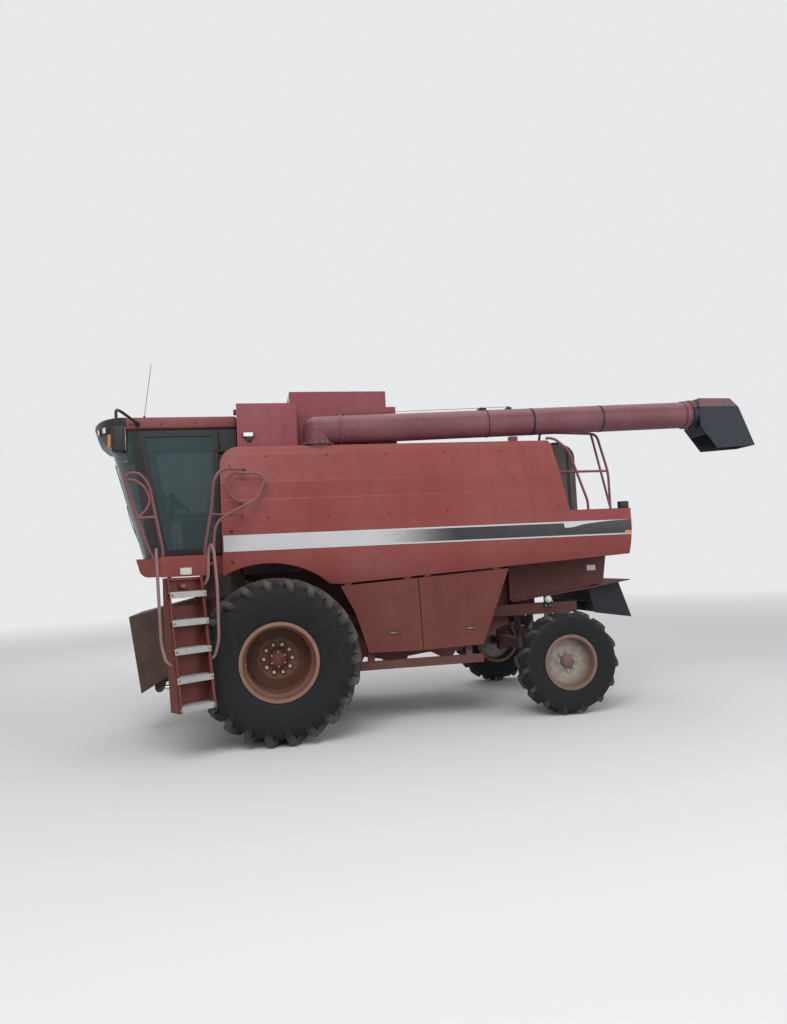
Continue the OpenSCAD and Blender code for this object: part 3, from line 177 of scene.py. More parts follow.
# Old paint: faded, streaked, dusty below, with rust at the edges and in patches. Upward faces are paled,
# partly as sun fade and partly as a painted highlight from above. In front of black_x it is black, below
# black_z bare rubber, and where a lower colour is given the paint passes to it toward the ground, so that
# the darker paint above is a painted shadow.
def paint(name, base, faded, rough=0.45, rust=0.5, dust=0.5, black_x=None, black_z=None, top_fade_and_light=0.5,
          lit_low_color=None):
    t = Tree(name)
    x, _, z = t.xyz()
    broad = t.cloud(0.35, 0.68, 0.9, 3)
    fine = t.cloud(0.3, 0.75, 7, 5)
    c = t.mix(t.mul(broad, 0.6), base, faded)
    c = t.mix(t.mul(fine, 0.22), c, scaled(base, 0.6))
    # Painted shadow: the paint stays dark above z 1.86, as shade under the skirt, and passes to the lit
    # lower colour toward the ground
    if lit_low_color:
        c = t.mix(t.mul(t.ramp(z, 1.86, 1.42), 0.85), c, lit_low_color)
    # Upward faces paled: partly sun fade, partly a painted highlight from above
    c = t.mix(t.mul(t.ramp(t.up(), 0.35, 0.95), top_fade_and_light), c, scaled(faded, 1.3, 0.05))
    runs = t.cloud(0.5, 0.78, 1.0, 5, 0.6, (9.0, 9.0, 0.55))
    c = t.mix(t.mul(runs, 0.25), c, scaled(base, 0.42))
    grime = t.mul(t.ramp(z, 2.2, 0.35), t.cloud(0.25, 0.8, 2.6, 6, 0.65))
    c = t.mix(t.mul(grime, dust), c, DUST)
    normal, worn = t.edge(0.008)
    eaten = t.mul(t.cloud(0.655, 0.72, 11, 7, 0.68), t.cloud(0.5, 0.62, 1.7, 3))
    chips = t.mul(t.mul(worn, t.cloud(0.5, 0.62, 26, 4, 0.7)), 0.8)
    rusty = t.mul(t.math("MAXIMUM", eaten, chips), rust)
    c = t.mix(rusty, c, RUST)
    r = t.mixf(rusty, t.mixf(t.mul(grime, 0.8), t.mixf(fine, rough, rough + 0.12), 0.82), 0.88)
    if black_x:
        ahead = t.math("GREATER_THAN", x, black_x - MID_X)
        c = t.mix(ahead, c, t.mix(t.mul(broad, 0.3), (0.016, 0.017, 0.02), (0.05, 0.05, 0.055)))
        r = t.mixf(ahead, r, 0.3)
    if black_z:
        under = t.math("LESS_THAN", z, black_z)
        c = t.mix(under, c, t.mix(t.mul(broad, 0.5), (0.006, 0.009, 0.016), (0.012, 0.017, 0.026)))
        r = t.mixf(under, r, 0.55)
    n = t.bump(t.noise(3.1, 2), 0.1, 0.01, normal)
    return t.surface(color=c, rough=r, normal=t.bump(t.noise(180, 2), 0.05, 0.0006, n), spec=0.32)


# Tyre rubber, ringed at the side and earthy toward the tread
def rubber(name, center, tread, dusty):
    t = Tree(name)
    cloud = t.cloud(0.3, 0.75, 5, 6, 0.65)
    c = t.mix(t.mul(cloud, 0.5), (0.0065, 0.008, 0.0095), (0.015, 0.017, 0.019))
    r = t.radius(center)
    wear = t.ramp(r, tread * 0.84, tread * 0.94)
    dirt = t.mul(t.math("ADD", t.mul(wear, dusty), 0.03), t.cloud(0.2, 0.8, 9, 6, 0.7))
    c = t.mix(dirt, c, (0.12, 0.105, 0.092))
    rings = t.mul(t.math("SINE", t.mul(r, 150.0)), t.mul(t.math("SUBTRACT", 1.0, wear), 0.25))
    n = t.bump(t.math("ADD", t.noise(60, 3), rings), 0.35, 0.003)
    return t.surface(color=c, rough=t.mixf(cloud, 0.62, 0.85), normal=n, spec=0.22)


def metal_like(name, color, rough=0.4, metal=1.0, rusty=0.0):
    t = Tree(name)
    f = t.cloud(0.3, 0.75, 6, 6, 0.65)
    c = t.mix(t.mul(f, 0.4), color, scaled(color, 0.6))
    n, _ = t.edge(0.004)
    spots = t.mul(t.cloud(0.52, 0.66, 14, 7, 0.7), rusty)
    r = t.mixf(spots, t.mixf(f, rough, rough + 0.15), 0.85)
    return t.surface(color=t.mix(spots, c, RUST), rough=r, metal=t.mixf(spots, metal, 0.1),
                     normal=t.bump(t.noise(120, 3), 0.12, 0.0008, n))


def black(name, base=(0.011, 0.012, 0.014), rough=0.45, dust=0.1):
    t = Tree(name)
    f = t.cloud(0.3, 0.75, 4, 6, 0.65)
    c = t.mix(t.mul(f, dust), base, (0.16, 0.14, 0.12))
    c = t.mix(t.mul(t.ramp(t.up(), 0.5, 1.0), 0.18), c, (0.2, 0.18, 0.16))
    n, worn = t.edge(0.006)
    c = t.mix(t.mul(worn, 0.3), c, (0.12, 0.11, 0.1))
    return t.surface(color=c, rough=t.mixf(f, rough, rough + 0.2), spec=0.3,
                     normal=t.bump(t.noise(90, 3), 0.1, 0.001, n))


def pane(name):
    t = Tree(name)
    film = t.cloud(0.35, 0.8, 3.5, 6, 0.6)
    runs = t.cloud(0.5, 0.8, 1.0, 5, 0.6, (14.0, 14.0, 0.7))
    c = t.mix(t.mul(film, 0.4), (0.03, 0.058, 0.064), (0.07, 0.105, 0.105))
    return t.surface(color=c, rough=t.mixf(film, 0.03, 0.12), alpha=t.mixf(t.mul(runs, 0.5), 0.62, 0.76),
                     spec=0.6, ior=1.45)


# A rim's paint, with another colour outside the radius ring and inside the radius hub
def rim_paint(name, base, rust_amount, center=None, hub=0.0, ring=0.0, ring_color=RUST):
    t = Tree(name)
    f = t.cloud(0.32, 0.72, 3.5, 6, 0.62)
    g = t.cloud(0.45, 0.62, 16, 6, 0.7)
    c = t.mix(t.mul(f, 0.6), base, scaled(base, 1.5))
    c = t.mix(t.mul(g, rust_amount), c, (0.125, 0.048, 0.026))
    if center:
        r = t.radius(center)
        c = t.mix(t.mul(t.ramp(r, ring - 0.02, ring + 0.012), 0.85), c, ring_color)
        c = t.mix(t.mul(t.ramp(r, hub + 0.012, hub - 0.012), 0.85), c, (0.105, 0.042, 0.03))
    n, worn = t.edge(0.006)
    c = t.mix(t.mul(worn, 0.35), c, (0.3, 0.22, 0.17))
    return t.surface(color=c, rough=t.mixf(g, 0.6, 0.9), normal=t.bump(t.noise(40, 4), 0.25, 0.002, n))


# The side stripe: silver in front, fading to black behind through a band of dots
def stripe_material():
    t = Tree("side_stripe")
    x, _, z = t.xyz()
    low, high = 2.126, 2.126 + 0.184
    v = t.add("ShaderNodeMapRange", {"Value": z, "From Min": low, "From Max": high}).outputs[0]
    along = t.math("ADD", x, MID_X)
    dots = t.mul(t.math("SUBTRACT", t.cloud(0.42, 0.58, 420, 1), 0.5), 0.35)
    fade = t.ramp(t.math("ADD", t.ramp(along, -1.1, -2.15), dots), 0.15, 0.85)
    # A thin silver line over the black, with a flare that starts thick and thins to the rear
    flare = t.add("ShaderNodeFloatCurve", {"Value": t.ramp(along, -3.5, -4.39)})
    curve = flare.mapping.curves[0]
    for place, value in ((0.0, 0.9), (0.02, 0.6), (0.09, 0.6), (0.32, 0.8), (1.0, 0.91)):
        curve.points.new(place, value)
    curve.points.remove(curve.points[0])
    curve.points.remove(curve.points[len(curve.points) - 1])
    flare.mapping.update()
    over = t.math("GREATER_THAN", v, flare.outputs[0])
    low_line = t.math("LESS_THAN", v, 0.09)
    keep = t.mul(t.math("SUBTRACT", 1.0, over), t.math("SUBTRACT", 1.0, low_line))
    c = t.mix(t.mul(fade, keep), (0.44, 0.44, 0.45), (0.012, 0.013, 0.016))
    c = t.mix(t.mul(t.cloud(0.45, 0.85, 5, 6, 0.65), 0.14), c, (0.16, 0.08, 0.065))
    return t.surface(color=c, rough=0.42, normal=t.bump(t.noise(60, 2), 0.05, 0.001))


def plain(name, color, rough=0.4, metal=0.0, wear=0.3, scale=8.0):
    t = Tree(name)
    f = t.cloud(0.3, 0.75, scale, 6, 0.65)
    c = t.mix(t.mul(f, wear), color, scaled(color, 0.55, 0.01))
    return t.surface(color=c, rough=t.mixf(f, rough, rough + 0.15), metal=metal,
                     normal=t.bump(t.noise(110, 2), 0.08, 0.0008))


def ribbed(name, color):
    t = Tree(name)
    w = t.add("ShaderNodeTexWave", {"Vector": t.pos, "Scale": 60.0, "Distortion": 0.0}).outputs["Fac"]
    return t.surface(color=t.mix(w, scaled(color, 0.8), color), rough=0.15, coat=0.6,
                     normal=t.bump(w, 0.4, 0.002))


def woven(name, pitch=1900.0):
    t = Tree(name)
    x, y, z = t.xyz()
    weave = t.mul(t.math("SINE", t.mul(t.math("ADD", x, z), pitch)),
                  t.math("SINE", t.mul(t.math("ADD", y, t.mul(z, 0.5)), pitch)))
    c = t.mix(t.mul(t.cloud(0.3, 0.75, 5, 5, 0.6), 0.5), (0.04, 0.042, 0.047), (0.075, 0.074, 0.075))
    n = t.bump(t.math("ADD", weave, t.noise(60, 3)), 0.35, 0.0012)
    return t.surface(color=c, rough=0.9, sheen=0.25, normal=n)


def perforated(name, pitch=560.0):
    t = Tree(name)
    x, _, z = t.xyz()
    u, v = (t.math("SINE", t.mul(t.math(op, x, z), pitch)) for op in ("ADD", "SUBTRACT"))
    hole = t.ramp(t.math("ADD", u, v), 0.55, 0.85)
    c = t.mix(t.mul(t.cloud(0.3, 0.75, 5, 6, 0.65), 0.6), (0.2, 0.17, 0.15), (0.12, 0.085, 0.065))
    return t.surface(color=t.mix(hole, c, (0.012, 0.011, 0.01)), rough=0.6, spec=0.3,
                     normal=t.bump(t.math("SUBTRACT", 1.0, hole), 0.5, 0.002))


def assign(material, *names):
    for name in names:
        for slot in NODES[name].material_slots:
            slot.material = material


red = paint("red_paint", (0.192, 0.034, 0.03), (0.232, 0.068, 0.063))
top_red = paint("roof_paint", (0.165, 0.034, 0.034), (0.2, 0.066, 0.066), black_x=1.652, top_fade_and_light=0.35)
red_low = paint("red_paint_low", (0.12, 0.023, 0.018), (0.142, 0.038, 0.03), 0.52, 0.8, 0.22)
tube_red = paint("rail_paint", (0.15, 0.045, 0.045), (0.22, 0.1, 0.1), 0.5, 0.8, 0.4)
black_paint = black("black_paint")
cast_paint = black("cast_paint", (0.035, 0.022, 0.02), 0.6, 0.45)
steel = metal_like("worn_steel", (0.42, 0.41, 0.39), 0.42, 0.9, 0.35)
lens_glass = ribbed("lens_glass", (0.78, 0.79, 0.77))
amber = ribbed("amber_lens", (0.62, 0.21, 0.03))
red_lens = ribbed("red_lens", (0.3, 0.02, 0.015))
hub_paint = rim_paint("hub_paint", (0.12, 0.03, 0.024), 0.5)
washer_steel = metal_like("washer_steel", (0.6, 0.56, 0.5), 0.5, 0.3, 0.25)
bolt_steel = metal_like("bolt_steel", (0.3, 0.24, 0.21), 0.45, 0.7, 0.6)
plate_pale = plain("plate_pale", (0.55, 0.54, 0.5), 0.45)
tread_metal = metal_like("tread_metal", (0.37, 0.37, 0.37), 0.45, 0.4, 0.25)
rail_worn = plain("rail_worn", (0.22, 0.12, 0.12), 0.5, wear=0.6, scale=14.0)
visor_black = black("visor_black", (0.014, 0.015, 0.019), 0.22, 0.12)
cloth = woven("seat_cloth")
mirror_face = plain("mirror_face", (0.62, 0.65, 0.68), 0.04, metal=1.0, wear=0.1)
rim_rust = rim_paint("rim_rust", (0.145, 0.068, 0.045), 0.6, at(0, 0, FRONT_R), 0.112, 0.405,
                     (0.225, 0.115, 0.082))
rim_pale = rim_paint("rim_pale", (0.27, 0.25, 0.215), 0.3, at(REAR_X, 0, REAR_R), 0.078, 0.262,
                     (0.13, 0.066, 0.046))

assign(red, "grain_tank", "upper_panel_left", "upper_panel_right", "belt_panels", "cab_base", "bulkhead",
       "platform")
assign(paint("tank_paint", (0.185, 0.036, 0.044), (0.215, 0.066, 0.078)), "tank_extension")
# The auger: a darker base as painted shade on its sides, and its top fully paled as a painted highlight
assign(paint("auger_paint_shaded_sides", (0.118, 0.032, 0.04), (0.185, 0.08, 0.094), top_fade_and_light=1.0),
       "auger_base", "auger_tube")
assign(paint("deck_paint", (0.105, 0.03, 0.036), (0.125, 0.05, 0.06), rust=0.7), "rear_deck")
assign(paint("boot_paint", (0.105, 0.04, 0.045), (0.16, 0.085, 0.095), black_z=3.722), "spout_boot")
assign(top_red, "cab_roof")
assign(red_low, "shield_front_left", "shield_rear_left", "shield_front_right", "shield_rear_right", "ladder")
assign(tube_red, "hand_rails")
# Hood and threshing body: dark red as a painted shadow under the skirt, passing to lit red toward the ground
assign(paint("hood_paint_shadowed_above", (0.058, 0.016, 0.015), (0.08, 0.026, 0.024), 0.6, 0.8, 0.25,
             lit_low_color=(0.125, 0.034, 0.034)), "straw_hood", "threshing_body")
# Feeder house: red darkened nearly to black, as a painted shade under the cab, with rust and dust
assign(paint("feeder_paint_shaded", (0.04, 0.016, 0.014), (0.06, 0.03, 0.025), 0.62, 1.0, 0.6), "feeder_house")
assign(paint("dark_red_paint", (0.08, 0.019, 0.018), (0.1, 0.03, 0.026), 0.6, 1.0, 0.35),
       "main_frame", "rear_axle")
assign(cast_paint, "front_axle", "engine_block", "knuckle_left", "knuckle_right")
assign(black_paint, "cab_frame", "steering_column", "mirrors", "cab_door", "lift_barrels", "seat")
assign(black("tank_plastic", (0.07, 0.06, 0.062), 0.5, 0.35), "fuel_tank")
assign(black("rubber_sheet", (0.01, 0.013, 0.019), 0.55, 0.05), "straw_flap")
assign(steel, "tie_rod")
assign(metal_like("chrome", (0.78, 0.78, 0.8), 0.08, 1.0, 0.03), "lift_rods")
assign(pane("cab_glass"), "cab_glass", "door_glass")
assign(rim_rust, "rim_front_left", "rim_front_right")
assign(rim_pale, "rim_rear_left", "rim_rear_right")
assign(stripe_material(), "stripe_bands")
assign(lens_glass, "lamps")
assign(perforated("perforated_sheet"), "rotary_screen")


# Small forms joined into one piece, in the frame of base, or of a form's own place where that is given
class Shape:
    def __init__(self, base=None):
        self.verts, self.faces, self.slots = [], [], []
        self.base = base or Matrix()

    def put(self, verts, faces, slot=0, place=None):
        place = place or self.base
        n = len(self.verts)
        self.verts += [place @ Vector(v) for v in verts]
        self.faces += [[i + n for i in f] for f in faces]
        self.slots += [slot] * len(faces)

    def take(self, bm, slot, place):
        bm.verts.index_update()
        self.put([v.co[:] for v in bm.verts], [[v.index for v in f.verts] for f in bm.faces], slot, place)
        bm.free()

    # Rings of n points, each joined to the next, with the end ones filled, or joined too
    def rings(self, verts, n, slot, place, joined=False):
        count = len(verts) // n
        faces = []
        for j in range(count if joined else count - 1):
            q = (j + 1) % count
            for i in range(n):
                k = (i + 1) % n
                faces.append([j * n + i, j * n + k, q * n + k, q * n + i])
        if not joined:
            faces.append(list(range(n))[::-1])
            faces.append([(count - 1) * n + i for i in range(n)])
        self.put(verts, faces, slot, place)

    # Box between two corners, its edges bevelled by r
    def block(self, lo, hi, r=0.003, slot=0, place=None):
        mid = [(a + b) / 2 for a, b in zip(lo, hi)]
        half = [abs(b - a) / 2 for a, b in zip(lo, hi)]
        r = min(r, 0.45 * min(half))
        bm = bmesh.new()
        for s in product((-1, 1), repeat=3):
            for flat in range(3):
                bm.verts.new([mid[k] + s[k] * (half[k] - (0 if k == flat else r)) for k in range(3)])
        bmesh.ops.convex_hull(bm, input=bm.verts[:])
        self.take(bm, slot, place)

    # The same with its edges rounded
    def soft(self, lo, hi, r, slot=0, place=None, segments=3):
        bm = bmesh.new()
        bmesh.ops.create_cube(bm, size=1.0)
        for v in bm.verts:
            v.co = Vector([(a + b) / 2 + c * (b - a) for a, b, c in zip(lo, hi, v.co)])
        bmesh.ops.bevel(bm, geom=bm.edges[:], offset=r, segments=segments, affect="EDGES", profile=0.5)
        self.take(bm, slot, place)

    def loft(self, rings, slot=0, place=None):
        self.rings([p for ring in rings for p in ring], len(rings[0]), slot, place)

    # Turned form about local z: profile of (radius, height), filled at both ends or joined to a ring
    def turned(self, profile, n=32, slot=0, place=None, ring=False):
        turns = [2 * math.pi * i / n for i in range(n)]
        verts = [(r * math.cos(a), r * math.sin(a), h) for r, h in profile for a in turns]
        self.rings(verts, n, slot, place, ring)

    # Round bar along points
    def bar(self, points, d, n=12, slot=0):
        pts = [self.base @ Vector(p) for p in points]
        ahead = [(pts[min(i + 1, len(pts) - 1)] - pts[max(i - 1, 0)]).normalized() for i in range(len(pts))]
        side = ahead[0].orthogonal().normalized()
        verts = []
        for p, t in zip(pts, ahead):
            side = (side - side.dot(t) * t).normalized()
            over = t.cross(side)
            for a in [2 * math.pi * i / n for i in range(n)]:
                verts.append(p + d / 2 * (math.cos(a) * side + math.sin(a) * over))
        self.rings(verts, n, slot, Matrix())

    # Hexagon head with a washer, standing on p along the direction
    def bolt(self, p, direction, d=0.024, slot=0):
        place = facing(self.base @ Vector(p), self.base.to_3x3() @ Vector(direction))
        h = 0.6 * d
        self.turned([(d * 0.95, 0), (d * 0.95, d * 0.1), (d * 0.9, d * 0.14)], 20, slot, place)
        self.turned([(d * 0.58, d * 0.14), (d * 0.58, h), (d * 0.48, h + d * 0.07)], 6, slot, place)

    def done(self, name, *materials, body="root_body", sharp=38):
        mesh = bpy.data.meshes.new(name)
        mesh.from_pydata([v - SHIFT for v in self.verts], [], self.faces)
        bm = bmesh.new()
        bm.from_mesh(mesh)
        bmesh.ops.recalc_face_normals(bm, faces=bm.faces)
        for f, slot in zip(bm.faces, self.slots):
            f.smooth = True
            f.material_index = slot
        for e in bm.edges:
            if len(e.link_faces) == 2 and e.calc_face_angle() > math.radians(sharp):
                e.smooth = False
        bm.to_mesh(mesh)
        bm.free()
        for m in materials:
            mesh.materials.append(m)
        obj = bpy.data.objects.new(name, mesh)
        scene.collection.objects.link(obj)
        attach(obj, body)
        return obj


# A path with each corner turned into a small curve
def rounded(points, r=0.06):
    pts = [Vector(p) for p in points]
    path = [pts[0]]
    for a, b, c in zip(pts, pts[1:], pts[2:]):
        reach = min(r, 0.45 * (b - a).length, 0.45 * (c - b).length)
        start = b + (a - b).normalized() * reach
        end = b + (c - b).normalized() * reach
        for t in [i / 6 for i in range(7)]:
            path.append((1 - t) ** 2 * start + 2 * t * (1 - t) * b + t ** 2 * end)
    return path + [pts[-1]]


# Frame with its local z along the direction, its origin on p
def facing(p, direction):
    turn = Vector(direction).normalized().to_track_quat("Z", "Y").to_matrix().to_4x4()
    return Matrix.Translation(Vector(p)) @ turn


def spun(deg):
    return Matrix.Rotation(math.radians(deg), 4, "Z")


trees = {}


# Where a ray from p along the direction meets the first of the nodes in its way, and the normal there
def onto(p, direction, *nodes):
    for node in nodes:
        if node not in trees:
            obj = NODES[node]
            obj.data.calc_loop_triangles()
            corners = [obj.matrix_world @ v.co for v in obj.data.vertices]
            trees[node] = BVHTree.FromPolygons(corners, [t.vertices[:] for t in obj.data.loop_triangles])
        hit, normal, _, _ = trees[node].ray_cast(Vector(p) - SHIFT, Vector(direction).normalized())
        if hit is not None:
            return hit + SHIFT, normal
    return None, None


OUTSIDE = 2.4


# The same from outside, at the left (sy 1) or the right (sy -1)
def beside(sy, x, z, *nodes):
    return onto((x, sy * OUTSIDE, z), (0, -sy, 0), *nodes)


# Frame of a wheel: local z is its axle's outer direction
def wheel_frame(x, y, z, s):
    return Matrix(((1, 0, 0, x), (0, 0, s, s * y), (0, -1, 0, z), (0, 0, 0, 1)))


# A turned carcass with swept lugs, on the stations of the part's own lugs. The tyre has diameter d and
# width w, seat is the bore's radius, and each lug lags by lead degrees at the shoulder.
def make_tyre(name, body, place, d, w, rim_d, rim_w, seat, pitches, depth, lead, *materials):
    r, b, h = d / 2, w / 2, rim_w / 2 - 0.016
    wall = (r + rim_d / 2) / 2 + 0.05
    bead = rim_d / 2 + 0.001
    low = r - depth
    deep = depth / 0.055
    edge = b - 0.046
    first = w / 17
    outer = [(seat + 0.0015, h - 0.001), (bead, h + 0.004)]
    steps, ribs = 15, (2, 3, 7, 11)
    for i in range(1, steps + 1):
        rib = 0.0022 if i in ribs else 0.0
        bulge = (b - h - 0.006) * math.sin(i / steps * math.pi / 2) ** 0.8
        outer.append((bead + (wall - bead) * i / steps, h + 0.002 + bulge + rib))
    # The carcass falls away between the lugs at the shoulder
    for rise, inward in ((0.04, 0.01), (0.074, 0.034), (0.098, 0.068), (0.113, 0.112), (0.122, 0.17)):
        outer.append((wall + (low - wall) * rise / 0.132, b - inward * b / 0.3875))
    outer += [(low - 0.003 * deep, 0.3 * b), (low, 0.08 * b)]
    shape = Shape(place)
    shape.turned(outer + [(q, -o) for q, o in reversed(outer)], 24 * pitches, ring=True)
    # Stations of a lug: its top and outer reach, its foot and inner reach, its lag and its width's share
    path = []
    for t in [k / 8 for k in range(9)]:
        o = first * 0.3 + (edge - first * 0.3) * t
        lag = 0.8 * max(0, o - first) / (b - 0.048 - first)
        path.append((r - 0.012 * t * t, o, low - 0.02 - 0.03 * t, o, lag, 1 + 0.15 * t))
    path += [(r - 0.028 * deep, edge + 0.02, low - 0.05 * deep, edge - 0.05, 0.87, 1.22),
             (r - 0.07 * deep, b - 0.006, low - 0.08 * deep, edge - 0.03, 0.95, 1.25),
             ((r + wall) / 2 - 0.015, b - 0.001, wall + 0.02, b - 0.05, 1.01, 1.22),
             (wall + 0.04 * deep, b - 0.0005, wall - 0.01, b - 0.03, 1.05, 1.15),
             (wall + 0.006, b - 0.003, wall - 0.03, b - 0.02, 1.07, 0.95)]
    half = 0.03 * r / FRONT_R
    section = [(0, -1.6), (0.6, -1.2), (0.92, -1.0), (1, -0.82)]
    section += [(lift, -across) for lift, across in reversed(section)]
    for side, start in ((-1, 0.5), (1, 2.5)):
        for m in range(pitches):
            mid = 2 * math.pi / pitches * (m + start / 4)
            stations = []
            for top, out, base, inner, lag, k in path:
                ring = []
                for lift, across in section:
                    q = base + (top - base) * lift
                    a = mid - math.radians(lag * lead) + across * half * k / q
                    ring.append((q * math.cos(a), q * math.sin(a), side * (inner + (out - inner) * lift)))
                stations.append(ring)
            shape.loft(stations, 1)
    return shape.done(name, *materials, body=body, sharp=50)


# Each axle's place and wheel radius, the dirt on its lugs, and the tyre's measures
AXLES = {"front": (0, FRONT_Y, FRONT_R, 1.0, (1.81, 0.775, 0.867, 0.686, 0.406, 22, 0.055, 13)),
         "rear": (REAR_X, REAR_Y, REAR_R, 0.8, (1.245, 0.378, 0.66, 0.33, 0.305, 15, 0.038, 10))}
lug_rubbers = {}
for axle, (x, _, r, dusty, _) in AXLES.items():
    lug_rubbers[axle] = rubber("lugs_" + axle, at(x, 0, r), r, dusty)
for side, sy in SIDES:
    for axle, (x, y, r, _, sizes) in AXLES.items():
        node = "tyre_" + axle + "_" + side
        wall_rubber = rubber(node, at(x, 0, r), r, 0.22)
        assign(wall_rubber, node)
        obj = make_tyre("fine_" + node, "wheel_" + axle[0] + side[0], wheel_frame(x, y, r, sy), *sizes,
                        wall_rubber, lug_rubbers[axle])
        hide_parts(node)


# Frames in a circle about the base's z axis
def around(base, n, radius, height, start=0.0):
    turns = [2 * math.pi * (i + start) / n for i in range(n)]
    return [base @ Matrix.Translation((radius * math.cos(a), radius * math.sin(a), height)) for a in turns]


# Wheel nuts on light washers, hub caps and valves
for side, sy in SIDES:
    place = wheel_frame(0, FRONT_Y, FRONT_R, sy)
    hub = Shape(place)
    for p in around(place, 10, 0.16, -0.08):
        hub.turned([(0.033, 0), (0.033, 0.004), (0.029, 0.007)], 24, 0, p)
        hub.turned([(0.023, 0.006), (0.023, 0.026), (0.018, 0.0325)], 6, 1, p)
    hub.turned([(0.108, -0.021), (0.108, -0.012), (0.098, -0.006), (0.094, 0.004), (0.08, 0.016),
                (0.055, 0.026), (0.024, 0.032), (0.008, 0.033)], 48)
    for p in around(place, 6, 0.084, 0.01, 0.5):
        hub.turned([(0.009, 0), (0.009, 0.008), (0.007, 0.01)], 6, 1, p)
    for p in around(place, 4, 0.315, -0.128, 0.4):
        hub.turned([(0.03, -0.015), (0.03, 0.003), (0.024, 0.008)], 24, 0, p)
    hub.bar([(0.388, 0.02, 0.17), (0.372, 0.02, 0.178), (0.355, 0.02, 0.195)], 0.012, slot=1)
    hub.done("hub_front_" + side, hub_paint, washer_steel, body="wheel_f" + side[0])
    place = wheel_frame(REAR_X, REAR_Y, REAR_R, sy)
    hub = Shape(place)
    for p in around(place, 8, 0.11, 0.01):
        hub.turned([(0.022, 0), (0.022, 0.004), (0.019, 0.006)], 20, 1, p)
        hub.turned([(0.019, 0.005), (0.019, 0.026), (0.015, 0.03)], 6, 0, p)
    hub.turned([(0.068, 0.055), (0.068, 0.066), (0.06, 0.073), (0.04, 0.08), (0.01, 0.082)], 40)
    hub.bar([(0.284, 0.0, 0.03), (0.27, 0.0, 0.04), (0.255, 0.0, 0.05)], 0.01, slot=1)
    hub.done("hub_rear_" + side, rim_pale, washer_steel, body="wheel_r" + side[0])

# Cab roof with its bowed black visor, lamp housings and whip antenna
VISOR_X, VISOR_HALF, LAMP_TIP, LAMP_Z = 1.65, 0.87, 2.105, 3.655
VISOR = ((3.48, 2.015), (3.525, 2.06), (3.6, 2.09), (3.74, 2.132), (3.768, 2.126), (3.785, 2.108))
LAMP_DEGS, MARKER_DEG = (42, 56), 64


# Point of the visor's bow with its tip at x, deg round from the middle
def visor_at(tip, deg):
    a = math.radians(deg)
    return VISOR_X + (tip - VISOR_X) * math.cos(a), VISOR_HALF * math.sin(a)


# A lamp's place on the bow, and its outward direction
def visor_lamp(deg, sy, z):
    a = math.radians(deg)
    x, y = visor_at(LAMP_TIP, deg)
    out = Vector((math.cos(a) / (LAMP_TIP - VISOR_X), sy * math.sin(a) / VISOR_HALF, 0))
    return Vector((x, sy * y, z)), out.normalized()


roof = Shape()
roof.soft((0.37, -0.89, 3.64), (1.66, 0.89, 3.783), 0.028, 0, segments=4)
roof.loft([[(*visor_at(tip, -90 + 4 * i), z) for i in range(46)] for z, tip in VISOR], 1)
for side, sy in SIDES:
    for deg in (*LAMP_DEGS, MARKER_DEG):
        p, out = visor_lamp(deg, sy, 3.59 if deg == MARKER_DEG else LAMP_Z)
        place = Matrix.Translation(p) @ spun(math.degrees(math.atan2(out.y, out.x)))
        if deg == MARKER_DEG:
            roof.soft((-0.05, -0.028, -0.15), (0.012, 0.028, 0.01), 0.008, 1, place)
            roof.block((0.012, -0.024, -0.146), (0.02, 0.024, 0.006), 0.004, 2, place)
        else:
            roof.soft((-0.045, -0.048, -0.044), (0.016, 0.048, 0.044), 0.01, 1, place)
foot, tip = Vector((1.45, 0.85, 3.745)), Vector((1.3465, 0.85, 4.436))
roof.bar([foot, (1.442, 0.85, 3.8)], 0.028, 16, 1)
roof.bar([foot.lerp(tip, k / 6) for k in range(7)], 0.0065, 10, 1)
for x in (0.45, 0.85, 1.25, 1.6):
    for side, sy in SIDES:
        roof.bolt((x, sy * 0.8895, 3.7), (0, sy, 0), 0.014, 1)
roof.block((0.4, -0.7, 3.782), (1.52, 0.7, 3.79), 0.005)
roof_obj = roof.done("fine_cab_roof", top_red, visor_black, amber)
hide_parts("cab_roof", "lamps")

# Work lamps on the tank's extension, and the tail lamps
lamps = Shape()
lamps.block((0.2, 1.2505, 3.41), (0.262, 1.284, 3.462), 0.006)
lamps.soft((0.172, 1.2505, 3.458), (0.3, 1.291, 3.514), 0.012)
lamps.block((0.182, 1.29, 3.464), (0.29, 1.2945, 3.508), 0.002, 1)
lamps.soft((0.3675, 1.16, 3.735), (0.4, 1.23, 3.795), 0.008)
lamps.done("extension_lamps", black_paint, lens_glass)
for side, sy in SIDES:
    tail = Shape(Matrix.Translation((0, sy * 1.43, 0)))
    tail.soft((-4.385, -0.04, 2.4515), (-4.27, 0.04, 2.538), 0.01)
    tail.block((-4.3885, -0.034, 2.46), (-4.3845, 0.034, 2.532), 0.002, 1)
    tail.done("tail_lamp_" + side, black_paint, red_lens)

# Mirrors on bent arms
for side, sy in SIDES:
    mirror = Shape()
    mirror.bar(rounded([(1.52, sy * 0.8905, 3.7), (1.52, sy * 0.945, 3.703), (1.68, sy * 1.15, 3.815),
                        (1.7, sy * 1.3, 3.79), (1.69, sy * 1.3, 3.575)], 0.09), 0.034, 16)
    mirror.turned([(0.036, 0), (0.036, 0.008), (0.03, 0.012)], 24, 0,
                  facing((1.52, sy * 0.89, 3.7), (0, sy, 0)))
    place = Matrix.Translation((0, sy * 1.31, 0))
    mirror.soft((1.595, -0.088, 3.3), (1.742, 0.088, 3.588), 0.03, 0, place)
    mirror.block((1.588, -0.074, 3.316), (1.5955, 0.074, 3.574), 0.003, 1, place)
    mirror.block((1.62, -0.02, 3.586), (1.71, 0.02, 3.6), 0.004, 0, place)
    obj = mirror.done("fine_mirror_" + side, black_paint, mirror_face)
    if side == "left":
        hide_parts("mirrors")

